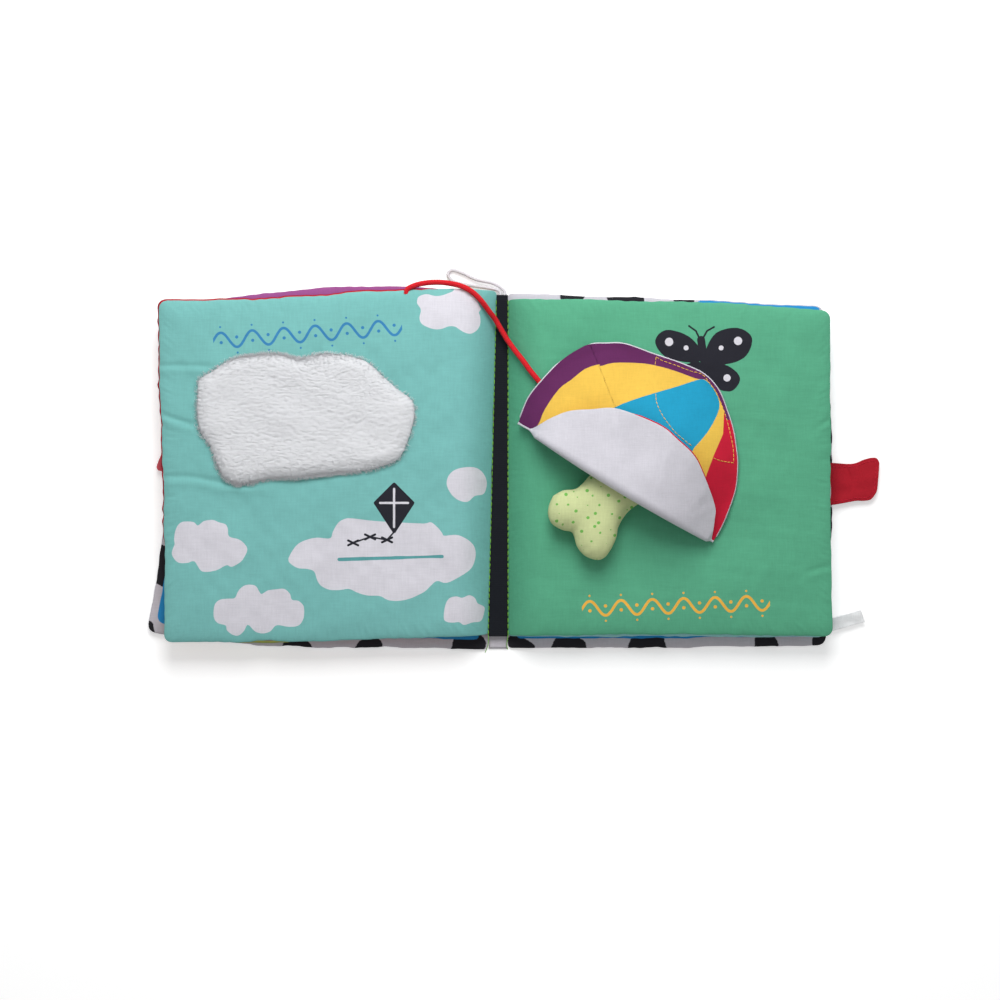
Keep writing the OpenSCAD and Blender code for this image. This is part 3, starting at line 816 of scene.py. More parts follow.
def cow_spots(xy, name):
    """Distance to the black patches of the cover, negative inside one."""
    rng = np.random.default_rng(21 if name == "left_cover" else 22)
    edge = {
        "left_cover": [
            (-112, -100, 7.5), (-71, -102, 9.5), (-18, -98, 9), (-189.5, -53, 12.5),
            (-196, -90, 5.5), (-150, 97, 9), (-92, 99, 10), (-40, 96, 8)],
        "right_cover": [
            (12, -98, 7), (38, -98, 8.5), (84, -99, 12), (148, -98, 8), (180, -95, 6),
            (41, 97, 6), (71, 97.5, 9), (103, 97, 7), (183, 30, 12), (184, -30, 9)],
    }[name]
    side = PANELS[name][0]
    inner = []
    for x in np.arange(24, 170, 36):
        for y in np.arange(-66, 70, 34):
            inner.append((side * (x + rng.uniform(-8, 8)), y + rng.uniform(-8, 8),
                          rng.uniform(8, 14)))
    best = np.full(len(xy), 30.0)
    for x, y, radius in edge + inner:
        offset = xy - (x, y)
        turn = np.arctan2(offset[:, 1], offset[:, 0])
        a, b = rng.uniform(0, 6.28, 2)
        wobble = 1 + 0.16 * np.sin(2 * turn + a) + 0.11 * np.sin(3 * turn + b)
        best = np.minimum(best, np.linalg.norm(offset, axis=1) - radius * wobble)
    return best


def cow_print(border):
    """The cow print of the cover. The lining has it on a border, round a blue field."""
    def draw(finish, colour):
        spots = finish.inside("spot", 0.3, 1.2)
        cow = finish.mix(spots, colour, srgb(38, 37, 42))
        if border:
            cow = finish.mix(finish.inside("field", 0.2), cow, colours().cover_blue)
        return cow
    return draw


def build_pad(name, piece_name, pitch, face, back, slot, nodes, marks=None, relief=None,
              lap=None):
    """Makes one padded panel with its face and back cloth."""
    pad = Pad(name)

    def face_z(xy):
        z = pad.plain_face(xy)
        return z if relief is None else z + relief(pad, xy)

    scales = [0.9985, 0.993, 0.98, 0.955, 0.92]
    # The back of a cover carries a print, so its rings lie closer together
    scales += [0.86, 0.72, 0.4] if pad.level else np.arange(0.89, 0.03, -0.03).tolist()
    grid = grid_inside(pad.sides, pitch)
    points, faces, which = closed_pad(
        grid, pad.middle, face_z, pad.back, pad.seam, scales, lap)
    named = {mark: drawing(points[:, :2], pad) for mark, drawing in (marks or {}).items()}
    piece = new_piece(piece_name, points, faces, [face, back], which, named)
    dress(piece, slot, *nodes)
    bend(piece, pad.side)
    return piece


def layers_of(name):
    return [f"{name}_outer", f"{name}_wadding", f"{name}_lining"] if "cover" in name else [
        f"{name}_back", f"{name}_wadding", f"{name}_face"]


# Prints, drawn on the squared paper


CLOUDS = [
    [(173.6, 539), (175.5, 529), (180.6, 522.5), (188.3, 521.6), (194, 522.5), (197.8, 525.7),
     (203.6, 521.2), (212.5, 520), (218.9, 522.5), (225.3, 524.4), (227.8, 528.9), (229, 536.5),
     (239.3, 539.7), (245.7, 545.5), (247.2, 550.6), (244.4, 556.9), (240.6, 562), (231.6, 566.9),
     (226.5, 565.2), (216.3, 570.3), (204.8, 572), (199.7, 569.7), (194, 561.4), (187, 563),
     (178, 562.7), (172.3, 557), (171.4, 551.8), (174.2, 544.2)],
    [(213.5, 610.5), (215, 604), (220, 599.7), (227.8, 598.8), (234.8, 598), (238, 591.4),
     (243, 586.3), (249.5, 584.7), (255.9, 586.3), (259, 591.4), (261.6, 594.2), (267.3, 590.7),
     (275, 589.5), (283.9, 589), (289.7, 593.9), (291.8, 599.9), (298, 600.9), (303, 605.4),
     (304, 611.8), (303, 619.4), (298, 625.8), (287.8, 627), (276.3, 625.4), (269.9, 631.6),
     (262.2, 633.7), (254.6, 631.6), (247.6, 624.8), (243.8, 630.9), (238, 635.8), (231.6, 634.7),
     (226.5, 630.3), (225.3, 625.6), (217.6, 623.3), (213.8, 618.2)],
    [(446.5, 484), (449, 475), (457, 469), (471, 467), (480, 470), (485.4, 477.4), (486.5, 485.5),
     (483.4, 494), (474.7, 496), (469, 501), (464, 502), (457, 499.5), (450.6, 493.5)],
    [(443.6, 618), (445, 606), (449, 598.6), (456, 596.6), (462, 598), (469, 595.6),
     (474.7, 598.6), (477.4, 604), (484, 608), (483.8, 614), (480.7, 622), (472, 623),
     (464, 625.4), (459, 622.4), (453, 622.8), (446.5, 622)],
    [(288.4, 561), (291.6, 552), (298, 544), (307, 539.7), (317, 537.8), (330, 538.4),
     (332.7, 532), (338, 523), (344.7, 519), (352, 518.5), (374, 521), (400, 522.6),
     (423.8, 523.6), (430.5, 522.3), (437, 527), (442, 533), (444, 535.7), (456, 535),
     (464, 537.7), (472, 543.7), (475.3, 551), (474.7, 560.5), (470.7, 569), (461, 576),
     (446.5, 583), (437, 581), (430.5, 586), (424, 592), (410, 598.6), (398, 601), (387.6, 600),
     (379.6, 596), (367.5, 595.6), (357, 592.6), (349, 589), (340.7, 590), (330, 590), (321, 586),
     (317, 580), (314, 571.6), (307, 569), (296.7, 567.8)],
    [(416.9, 300.7), (417.9, 297.1), (421.4, 295), (427.1, 293.9), (434.3, 295.7), (441.4, 295.3),
     (447.1, 293.3), (452.9, 290.7), (457, 286), (470, 287), (477.1, 300.7), (480.7, 308.6),
     (478.6, 311.4), (480, 316.4), (480, 323.6), (477.1, 329.3), (471.4, 333.3), (465.7, 332.9),
     (460, 330), (455, 326.7), (448.6, 326.4), (441.4, 329), (434.3, 329.3), (427.1, 327.1),
     (421.4, 323.6), (419.3, 317.9), (420.7, 311.4), (420, 307.9), (417.1, 303.6)],
]
KITE_TAIL = [(394, 532), (387, 540), (370, 537), (353, 543)]


def cloud_print(xy, pad):
    return np.minimum.reduce(
        [to_outline(xy, smooth_line(paper(cloud), 4, closed=True)) for cloud in CLOUDS])


def kite_print(xy, pad):
    """A kite that flies above the big cloud."""
    return to_outline(xy, paper([(394, 484), (413, 503), (394, 532), (375, 503)])) - 0.8


def kite_tail(finish):
    """The tail of the kite, with a ribbon tied round it at each bend."""
    best = finish.bars(paper(KITE_TAIL), 0.45)
    for x, y in KITE_TAIL[1:]:
        for dx, dy in ((5, 2.4), (5, -2.4)):
            tie = paper([(x - dx, y - dy), (x + dx, y + dy)])
            best = best.least(finish.bar(tie[0], tie[1], 0.62))
    return best


def kite_bars(finish):
    """The two pale bars that cross on the kite."""
    ends = paper([(394, 489), (394, 527), (380, 503), (408, 503)])
    return finish.bar(ends[0], ends[1], 0.6).least(finish.bar(ends[2], ends[3], 0.6))


def cloud_line(finish):
    """The teal line that runs across the big cloud, thinner at its ends."""
    ends = paper([(339, 559.5), (442, 556.5)])
    x, _, _ = finish.axes(finish.place())
    wander = finish.noise(finish.place(), 14, 1.0) - 0.5
    return finish.bar(ends[0], ends[1], 0.95) + wander * 0.9


def sky_border(finish):
    """The blue garland along the top of the sky page."""
    ends = paper([(213, 341), (402, 327)])
    return finish.garland(ends[0], ends[1], 4.2, 0.72, 12)


def green_border(finish):
    """The orange garland along the bottom of the green page."""
    ends = paper([(582, 609), (770, 603)])
    return finish.garland(ends[0], ends[1], 4.0, 0.75, 12)


def butterfly_print(xy, pad):
    """A butterfly that is half hidden by the rim of the ball."""
    best = np.full(len(xy), 8.0)
    wings = ([(702, 352), (688, 336), (666, 330), (655, 341), (664, 356), (684, 362), (701, 361)],
             [(705, 352), (716, 333), (738, 328), (752, 338), (746, 356), (728, 364), (707, 362)],
             [(704, 363), (684, 365), (674, 378), (684, 392), (700, 388), (707, 374)],
             [(708, 363), (728, 366), (740, 378), (732, 391), (716, 388), (709, 374)])
    for wing in wings:
        best = np.minimum(best, to_outline(xy, smooth_line(paper(wing), 5, closed=True)))
    return best


def butterfly_body(finish):
    """Its body and its two feelers."""
    body = finish.bars(paper([(701, 340), (704, 362), (708, 386)]), 2.2)
    for feeler in ([(700, 340), (696, 331), (689, 326)], [(702, 340), (707, 331), (714, 327)]):
        body = body.least(finish.bars(paper(feeler), 0.5))
    return body


def butterfly_spots(xy, pad):
    best = np.full(len(xy), 8.0)
    for x, y, radius in ((669, 342, 2.3), (738, 341, 2.3), (686, 348, 1.4), (721, 348, 1.4),
                         (727, 378, 2.0), (690, 377, 2.0)):
        best = np.minimum(best, to_disc(xy, paper([(x, y)])[0], radius))
    return best


def lining_field(xy, pad):
    """The blue field of the cover lining, inside a border of cow print."""
    s, _ = pad.share(xy)
    high = ease((xy[:, 1] - 85) / 6) * ease((xy[:, 0] - 106) / 6)
    return (s - 1) * 93 + 5.2 - 4.7 * high


# Outlines of the small pieces, on the squared paper


FLEECE = [
    (199, 380), (211, 372), (228, 361), (251, 356), (276, 354), (298, 359), (310, 356), (326, 354),
    (349, 356), (368, 363), (382, 376), (397, 389), (411, 400), (414, 414), (409, 436), (399, 457),
    (382, 466), (360, 471), (326, 473), (298, 477), (270, 478), (251, 482), (237, 483), (223, 476),
    (216, 462), (209, 445), (200, 431), (197, 414), (197, 397),
]
BALL_RIM = [
    (519, 421), (523, 410), (529, 397), (540, 383), (561, 361), (581, 348), (591, 344.6),
    (606, 344), (625, 344.6), (653, 354), (685, 365), (705, 375), (719, 391), (727, 411),
    (733, 431), (736, 451), (737, 465), (735, 489), (727, 513), (721, 527), (713, 542),
]
BALL_FREE = [
    (519, 421), (530, 428.6), (551, 418), (569, 411.4), (590, 410), (613, 409), (637, 417),
    (661, 428), (675, 440), (692, 456), (702, 474), (715, 505), (715.5, 520), (713, 542),
]
BALL_BAND = [
    (534, 430), (539, 423), (545, 409), (559, 389), (571, 380), (585, 369), (599, 364.4),
    (600, 366.4), (613, 363), (635, 363), (653, 365), (675, 371), (697, 379), (706, 380),
    (715, 390), (720, 401), (724, 412), (726, 420),
]
BALL_BLUE = [
    (615, 407.4), (633, 400), (655, 393), (679, 386), (697, 380), (705, 380), (714, 389),
    (719.4, 403), (717, 415), (707, 433), (694, 448), (680, 464), (640, 450), (610, 415),
]
BALL_RED = [
    (724, 412), (723, 434), (713, 457), (705, 479), (700, 490), (700, 560), (760, 560),
    (760, 400), (731, 405),
]
TUCK = [(590, 344), (599, 366), (607, 388), (616, 412)]
BONE_END = [
    (591, 476), (585, 482), (575, 489), (563, 490.5), (553, 496), (549, 505), (548, 515),
    (552, 524), (562, 530), (571, 532), (574, 537), (577, 547), (585, 556), (597, 560),
    (605, 557), (611, 549), (616, 538), (618, 527), (622, 517), (628, 509), (637, 503),
]
TAB = [
    (828, 463), (833, 463), (848, 464), (856, 463), (863, 460), (870, 458), (876, 458),
    (879, 462), (879, 467), (878, 478), (877, 490), (874, 496), (870, 500), (863, 501),
    (856, 501), (845, 503), (833, 505), (828, 505),
]
LABEL = [(828, 620), (833, 618), (861, 610), (865, 622), (832, 631), (828, 631)]
PATCH = [(163, 471.5), (158, 470.5), (156.4, 467), (158.6, 460.5), (161.5, 454), (166, 454),
         (166, 471.5)]


def four_sides(points, cuts, parts=8):
    """Cuts a closed outline, given clockwise on paper, into four counter-clockwise sides."""
    n = len(points)
    sides = []
    for i in range(4):
        a, b = cuts[i], cuts[(i + 1) % 4]
        count = (b - a) % n
        run = np.array([points[(a + k) % n] for k in range(count + 1)])
        sides.append(smooth_line(run, parts))
    return sides


def slab(grid, top_z, low_z):
    """Points and faces of a closed sheet with a fine grid on both sides."""
    rows, cols = grid.shape[:2]
    index = np.arange(rows * cols).reshape(rows, cols)
    xy = grid.reshape(-1, 2)
    edge = np.ones((rows, cols), bool)
    edge[1:-1, 1:-1] = False
    edge = edge.ravel()
    top, low = top_z(xy), low_z(xy)
    points = np.column_stack([xy, np.where(edge, (top + low) / 2, top)])
    under = np.column_stack([xy[~edge], low[~edge]])
    below = np.full(rows * cols, -1)
    below[~edge] = rows * cols + np.arange(len(under))
    below[edge] = np.arange(rows * cols)[edge]
    below = below.reshape(rows, cols)
    up = grid_quads(index)
    down = grid_quads(below)[:, ::-1]
    which = np.repeat([0, 1], [len(up), len(down)])
    return np.vstack([points, under]), up.tolist() + down.tolist(), which


def lumps(xy, pitch, seed, jitter=0.38):
    """Round heads packed side by side: 1 on the top of one and 0 between them."""
    rng = np.random.default_rng(seed)
    low, high = xy.min(0) - pitch, xy.max(0) + pitch
    heads = []
    for row, y in enumerate(np.arange(low[1], high[1], pitch * 0.87)):
        for x in np.arange(low[0] + (row % 2) * pitch / 2, high[0], pitch):
            heads.append((x, y))
    heads = np.array(heads) + rng.uniform(-jitter, jitter, (len(heads), 2)) * pitch
    size = rng.uniform(0.5, 0.72, len(heads)) * pitch
    best = np.zeros(len(xy))
    for start in range(0, len(xy), 4000):
        some = xy[start:start + 4000]
        gap = np.linalg.norm(some[:, None] - heads[None], axis=2) / size[None]
        best[start:start + 4000] = np.sqrt(np.maximum(0, 1 - gap ** 2)).max(1)
    return best


def fibres(roots, lean, total, rng):
    """Thin curled fibres that grow from their roots and lie over sideways."""
    count = len(roots)
    turn = rng.uniform(0, 2 * math.pi, count)
    side = np.column_stack([np.cos(turn), np.sin(turn)]) * 0.75 + lean
    curl = np.column_stack([-side[:, 1], side[:, 0]]) * rng.uniform(-1, 1, count)[:, None]
    size = total * rng.uniform(0.5, 1, count)[:, None]
    rings = []
    for t, radius in ((0, 0.11), (0.5, 0.1), (1, 0.02)):
        spot = np.empty((count, 3))
        spot[:, :2] = roots[:, :2] + size * (side * t * 0.62 + curl * 0.5 * math.sin(3 * t))
        spot[:, 2] = roots[:, 2] + size[:, 0] * 0.24 * math.sin(2.2 * t)
        for k in range(3):
            way = 2 * math.pi * k / 3
            level = np.column_stack([-np.sin(turn), np.cos(turn), np.zeros(count)])
            rings.append(spot + radius * (
                level * math.cos(way) + np.array([0, 0, 1]) * math.sin(way)))
    points = np.stack(rings, 1).reshape(-1, 3)
    sides = [(k * 3 + j, k * 3 + (j + 1) % 3, k * 3 + (j + 1) % 3 + 3, k * 3 + j + 3)
             for k in range(2) for j in range(3)]
    step = 9 * np.arange(count)[:, None, None]
    return points, ((np.array(sides)[None] + step).reshape(-1, 4).tolist()
                    + (np.array([(2, 1, 0), (6, 7, 8)])[None] + step).reshape(-1, 3).tolist())


def fleece_finish():
    finish = Finish("fleece_wool")
    place = finish.place()
    head = finish.mark("head")
    wisps = finish.noise(place, 0.5, 3.0, 0.7)
    tufts = finish.noise(place, 2.1, 2.0)
    # The head mark darkens the colour between the curls, where shade falls: painted shade. wisps and tufts vary the
    # tone at random.
    base = finish.shaded(
        colours().fleece, (head - 1.0) * 0.04 + (wisps - 0.5) * 0.06 + (tufts - 0.5) * 0.04)
    return finish.done(
        base, 0.9 + (wisps - 0.5) * 0.1, wisps * 0.1 + tufts * 0.1, sheen_weight=0.3,
        sheen_roughness=0.5, specular_ior_level=0.05)


# The flap, measured along its fold line and away from it


def on_ball(c, v):
    return BALL_MID + np.multiply.outer(c, ALONG) + np.multiply.outer(v - FOLD_D, AWAY)


def off_ball(xy):
    offset = xy - BALL_MID
    return offset @ ALONG, offset @ AWAY + FOLD_D


def half_chord(v):
    return np.sqrt(np.maximum(1, BALL_R ** 2 - (v - FOLD_D) ** 2))


def tent(t):
    return np.maximum(0, 1 - np.abs(t - 0.12 * (1 - t * t)) ** 2.6) ** 1.6


def flap_z(c, v):
    """Height of the middle of the flap, which the bone and the tether carry."""
    lift = 0.3 + 4.2 * ease((-18 - c) / 26)
    lift = lift + 17.3 * tent(c / half_chord(v)) * (1 - ease((v - 35) / 40))
    xy = on_ball(c, v)
    return page_z(1, xy.reshape(-1, 2)).reshape(np.shape(c)) + lift + 0.7


class BallFlap:
    """The points of the flap: its sewn part, the roll at the fold and its turned part."""

    def __init__(self):
        self.rim = np.column_stack(off_ball(smooth_line(paper(BALL_RIM, 22), 6)))
        self.free = np.column_stack(off_ball(smooth_line(paper(BALL_FREE, 34), 6)))
        self.start, self.end = self.rim[0], self.rim[-1]

    def free_reach(self, c):
        return np.maximum(0.35, np.interp(c, self.free[:, 0], self.free[:, 1]))

    def roll(self, c):
        full = 1.4 + (FOLD_R - 1.4) * (1 - (c / BALL_R) ** 2)
        return np.minimum(full, self.free_reach(c) / 3.2 + 0.2)

    def sewn(self):
        """A grid of the sewn part, from the fold line up to the rim."""
        chord = np.array([(self.start[0], self.start[1] * 0.2), (self.end[0], 0.0)])
        chord = along_line(chord, np.linspace(0, 1, 60))
        chord[:, 1] *= 0.5
        rim = self.rim[::-1]
        rim = np.vstack([chord[-1:], rim[1:-1], chord[:1]])
        run = run_of(rim) / run_of(rim)[-1]
        first, second = np.searchsorted(run, 0.27), np.searchsorted(run, 0.73)
        sides = [chord, rim[:first + 1], rim[first:second + 1], rim[second:]]
        return grid_inside(sides, 0.85, (0.15, 0.5, 1.0, 1.6))

    def points(self, offset):
        """Rows from the rim over the fold to the free edge, moved towards the printed side."""
        sewn = self.sewn()[::-1]
        c, v = sewn[..., 0], sewn[..., 1]
        z = flap_z(c, v) + self.folds(c, v)
        rows = [np.dstack([c, v, z + offset])]
        c = c[-1]
        low = v[-1]
        foot = flap_z(c, low) + self.folds(c, low)
        r = self.roll(c)
        for a in np.linspace(0, math.pi, 11)[1:]:
            rows.append(np.column_stack([
                c, low - r * math.sin(a) + offset * math.sin(a),
                foot + r * (1 - math.cos(a)) + offset * math.cos(a)])[None])
        reach = self.free_reach(c)
        for share in np.linspace(0, 1, 60)[1:]:
            w = low + (reach - low) * share
            top = foot + 2 * r + (flap_z(c, w) - flap_z(c, low))
            top = top + 2.5 * (1.6 * (w - low) / BALL_R) ** 2 + self.wrinkles(c, w) * ease(share * 3)
            rows.append(np.column_stack([c, w, top - offset])[None])
        rows = np.concatenate(rows)
        xy = on_ball(rows[..., 0], rows[..., 1])
        return np.dstack([xy, rows[..., 2]]), len(sewn)

    def folds(self, c, v):
        """The tuck that runs from the rim into the sewn part, and soft swells."""
        xy = on_ball(c, v).reshape(-1, 2)
        height = crease(xy, smooth_line(paper(TUCK, 28), 6), 0.5, 1.1) + 0.3 * waves(xy, 34, 5) + 0.1 * waves(xy, 13, 6)
        return height.reshape(np.shape(c))

    def wrinkles(self, c, w):
        xy = on_ball(c, w).reshape(-1, 2)
        height = 0.35 * waves(xy, 38, 9) + 0.14 * waves(xy, 15, 10)
        for line in ([(613, 405), (618, 430), (611, 470)], [(662, 424), (662, 450), (650, 500)],
                     [(708, 500), (700, 506), (692, 509)]):
            height = height + crease(xy, smooth_line(paper(line, 34), 6), 0.4, 2.0)
        return height.reshape(np.shape(c))

    def top_at(self, xy):
        """Height of the printed side of the sewn part at flat places."""
        c, v = off_ball(xy)
        return flap_z(c, v) + self.folds(c, v) + 0.5


def show_edges(printed_side, lining_side, sewn_rows):
    """Lets the lining show past the sewn rim, and the red cloth past part of the free edge."""
    for line in (np.s_[0, :], np.s_[:sewn_rows - 6, 0], np.s_[:sewn_rows - 6, -1]):
        out = printed_side[line][..., :2] - BALL_MID
        out = out / np.linalg.norm(out, axis=-1)[..., None]
        c, _ = off_ball(printed_side[line][..., :2])
        shown = np.maximum(ease((c + 53) / 4), ease((-60 - c) / 2))
        lining_side[line][..., :2] += out * (0.6 * shown)[..., None]
        lining_side[line][..., 2] = printed_side[line][..., 2] - 0.3
    c, _ = off_ball(lining_side[-1, :, :2])
    peek = 0.65 * ease((c + 14) / 6) * ease((46 - c) / 8)
    printed_side[-1, :, :2] += peek[:, None] * AWAY
    printed_side[-1, :, 2] = lining_side[-1, :, 2] - 0.15


def ball_marks(points, sewn_rows):
    """Distances to the drawn panels of the ball, negative inside."""
    rows, cols = points.shape[:2]
    flat = points.reshape(-1, 3)
    eye = np.array(CAMERA_AT[:2])
    scale = (CAMERA_AT[2] - PAPER_Z) / (CAMERA_AT[2] - flat[:, 2:3])
    seen = eye + (flat[:, :2] - eye) * scale
    band = smooth_line(paper(BALL_BAND), 3)
    outer = np.vstack([band, paper([(770, 420), (770, 300), (480, 300), (480, 445)])])
    marks = {
        "band": to_outline(seen, outer, 12),
        "blue": to_outline(seen, smooth_line(paper(BALL_BLUE), 2, closed=True), 12),
        "red": to_outline(seen, paper(BALL_RED), 12),
    }
    # On the turned part the panels run on as they would on the flat ball
    c, v = off_ball(flat[:, :2])
    turned = np.repeat(np.arange(rows) >= sewn_rows, cols)
    from_rim = BALL_R - np.hypot(c, -v - FOLD_D)
    marks["band"] = np.where(turned, np.maximum(from_rim - 9, c + 12), marks["band"])
    marks["blue"] = np.where(turned, 8.0, marks["blue"])
    marks["red"] = np.where(turned, -12 - c, marks["red"])
    return marks


# Operators, one for each piece or group of like pieces


class BOOK_OT_camera(Operator):
    """Sets the camera that looks straight down on the open book"""

    bl_idname = "book.set_camera"
    bl_label = "Camera"

    def execute(self, context):
        data = bpy.data.cameras.new("camera_above")
        data.lens = 85
        data.sensor_width = 36
        camera = bpy.data.objects.new("camera_above", data)
        camera.location = Vector(CAMERA_AT) * MM
        context.scene.collection.objects.link(camera)
        context.scene.camera = camera
        return {"FINISHED"}


class BOOK_OT_tether(Operator):
    """Adds the braided tether of the bone, in a left and a right stretch"""

    bl_idname = "book.add_tether"
    bl_label = "Tether"

    def execute(self, context):
        path = smooth_line(TETHER_LEFT + TETHER_RIGHT, 24)
        step = 0.32
        count = int(run_of(path)[-1] / step)
        path = along_line(path, np.linspace(0, 1, count))
        turn_length = sizes().braid / MM

        def braid(run, turn):
            wind = 2 * math.pi * run / turn_length
            left = np.sin(4 * turn + wind * 4)
            right = np.sin(4 * turn - wind * 4)
            return 0.2 * np.maximum(left, right) - 0.1

        finish = threaded("tether_braid", colours().tether, 0.45)
        cut = int(np.argmax(path[:, 0] > 4.0))
        parts = (("tether_left", path[:cut + 1], -1), ("tether_right", path[cut:], 1))
        for name, stretch, side in parts:
            begin = 0 if side < 0 else run_of(path)[cut]
            points, faces = tube(
                stretch, 1.42, 32, lambda run, turn: braid(run + begin, turn))
            piece = new_piece(name, points, faces, [finish])
            nodes = ("cord_left", "cord_spine") if side < 0 else ("cord_right",)
            dress(piece, "red_cord", *nodes)
            bend(piece, side)
        return {"FINISHED"}


class BOOK_OT_loop(Operator):
    """Adds the hanging loop at the top of the spine"""

    bl_idname = "book.add_loop"
    bl_label = "Hanging loop"

    def execute(self, context):
        path = smooth_line(LOOP, 20)
        path = along_line(path, np.linspace(0, 1, 300))

        def twist(run, turn):
            return 0.05 * np.sin(3 * turn + 2 * math.pi * run / 1.3)

        points, faces = tube(path, 0.95, 20, twist)
        piece = new_piece("hanging_cord", points, faces,
                          [threaded("loop_cord", colours().loop, 0.5, 0.3)])
        dress(piece, "white_cord", "hanging_loop")
        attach(piece, "spine")
        return {"FINISHED"}


class BOOK_OT_cover(Operator):
    """Adds the two padded panels of the cover"""

    bl_idname = "book.add_cover"
    bl_label = "Cover panels"

    def execute(self, context):
        outer = woven("cover_cow_print", colours().cover, drawn=cow_print(False))
        lining = woven("cover_lining", colours().cover, drawn=cow_print(True))
        marks = {"spot": lambda xy, pad: cow_spots(xy, pad.name), "field": lining_field}
        for name in ("left_cover", "right_cover"):
            build_pad(name, name + "_pad", 1.5, lining, outer, "cover_print", layers_of(name),
                      marks)
        return {"FINISHED"}


class BOOK_OT_inner_leaves(Operator):
    """Adds the two leaves that lie under the open pages"""

    bl_idname = "book.add_inner_leaves"
    bl_label = "Inner leaves"

    def execute(self, context):
        def lime_lap(xy):
            """The lime back cloth peeks out below the sky page."""
            low = ease((-85 - xy[:, 1]) / 4)
            return 0.015 * low * ease((xy[:, 0] + 152) / 8) * ease((-108 - xy[:, 0]) / 8)

        build_pad("purple_leaf", "purple_page", 1.5, woven("purple_leaf", colours().leaf),
                  woven("lime_back", colours().lime), "purple_cloth", layers_of("purple_leaf"),
                  lap=lime_lap)
        build_pad("inner_leaf", "inner_page", 1.5, woven("pale_leaf", colours().pale_teal),
                  woven("pale_back", colours().pale_teal), "pale_teal_cloth",
                  layers_of("inner_leaf"))
        return {"FINISHED"}


class BOOK_OT_sky_page(Operator):
    """Adds the sky page with its printed clouds"""

    bl_idname = "book.add_sky_page"
    bl_label = "Sky page"

    def execute(self, context):
        shade = colours()
        folds = [
            (smooth_line(paper([(154, 366), (180, 365.5), (219, 367)]), 6), 0.55, 1.5),
            (smooth_line(paper([(158, 413.5), (180, 421), (203, 428)]), 6), 0.75, 1.7),
            (smooth_line(paper([(158, 478), (190, 477), (225, 483), (264, 484)]), 6), 0.7, 1.8),
            (smooth_line(paper([(158, 544), (170, 544.5)]), 6), 0.4, 1.3),
            (smooth_line(paper([(158, 599), (172, 598)]), 6), 0.4, 1.3),
        ]

        def relief(pad, xy):
            height = pad.swells(xy) + pad.puckers(xy)
            for line, depth, width in folds:
                height = height + crease(xy, line, depth, width)
            return height

        face = woven("sky_print", shade.sky, drawn=printed(
            ("cloud", shade.cloud), (cloud_line, shade.teal_line), ("kite", shade.print_dark),
            (kite_tail, shade.print_dark), (kite_bars, shade.cloud),
            (sky_border, shade.print_blue)))
        back = woven("red_back", shade.back_red)
        marks = {"cloud": cloud_print, "kite": kite_print}

        def red_lap(xy):
            """The red back cloth shows as a thin line past the top and the outer seam."""
            outer = ease((-176 - xy[:, 0]) / 4) * ease((xy[:, 1] + 50) / 25)
            top = ease((xy[:, 1] - 88) / 4) * ease((-30 - xy[:, 0]) / 15)
            stitched = 0.8 + 0.2 * waves(xy, 6, 77)
            return 0.011 * np.maximum(outer * stitched, top * 0.9)

        build_pad("sky_leaf", "sky_page", 0.75, face, back, "sky_print",
                  layers_of("sky_leaf"), marks, relief, lap=red_lap)
        return {"FINISHED"}


class BOOK_OT_green_page(Operator):
    """Adds the green page that the ball flap is sewn to"""

    bl_idname = "book.add_green_page"
    bl_label = "Green page"

    def execute(self, context):
        shade = colours()
        folds = [
            (smooth_line(paper([(833, 417), (822, 425), (811, 433)]), 6), 0.5, 1.6),
            (smooth_line(paper([(833, 567), (818, 569), (799, 576)]), 6), 0.5, 1.7),
        ]

        def relief(pad, xy):
            height = pad.swells(xy) + pad.puckers(xy)
            for line, depth, width in folds:
                height = height + crease(xy, line, depth, width)
            return height

        face = woven("green_print", shade.green, drawn=printed(
            ("butterfly", shade.print_dark), (butterfly_body, shade.print_dark),
            ("dots", shade.cloud),
            (green_border, shade.print_orange)))
        back = woven("pale_teal_back", shade.pale_teal)
        marks = {"butterfly": butterfly_print, "dots": butterfly_spots}
        build_pad("ball_leaf", "green_page", 0.75, face, back, "green_print",
                  layers_of("ball_leaf"), marks, relief)
        return {"FINISHED"}


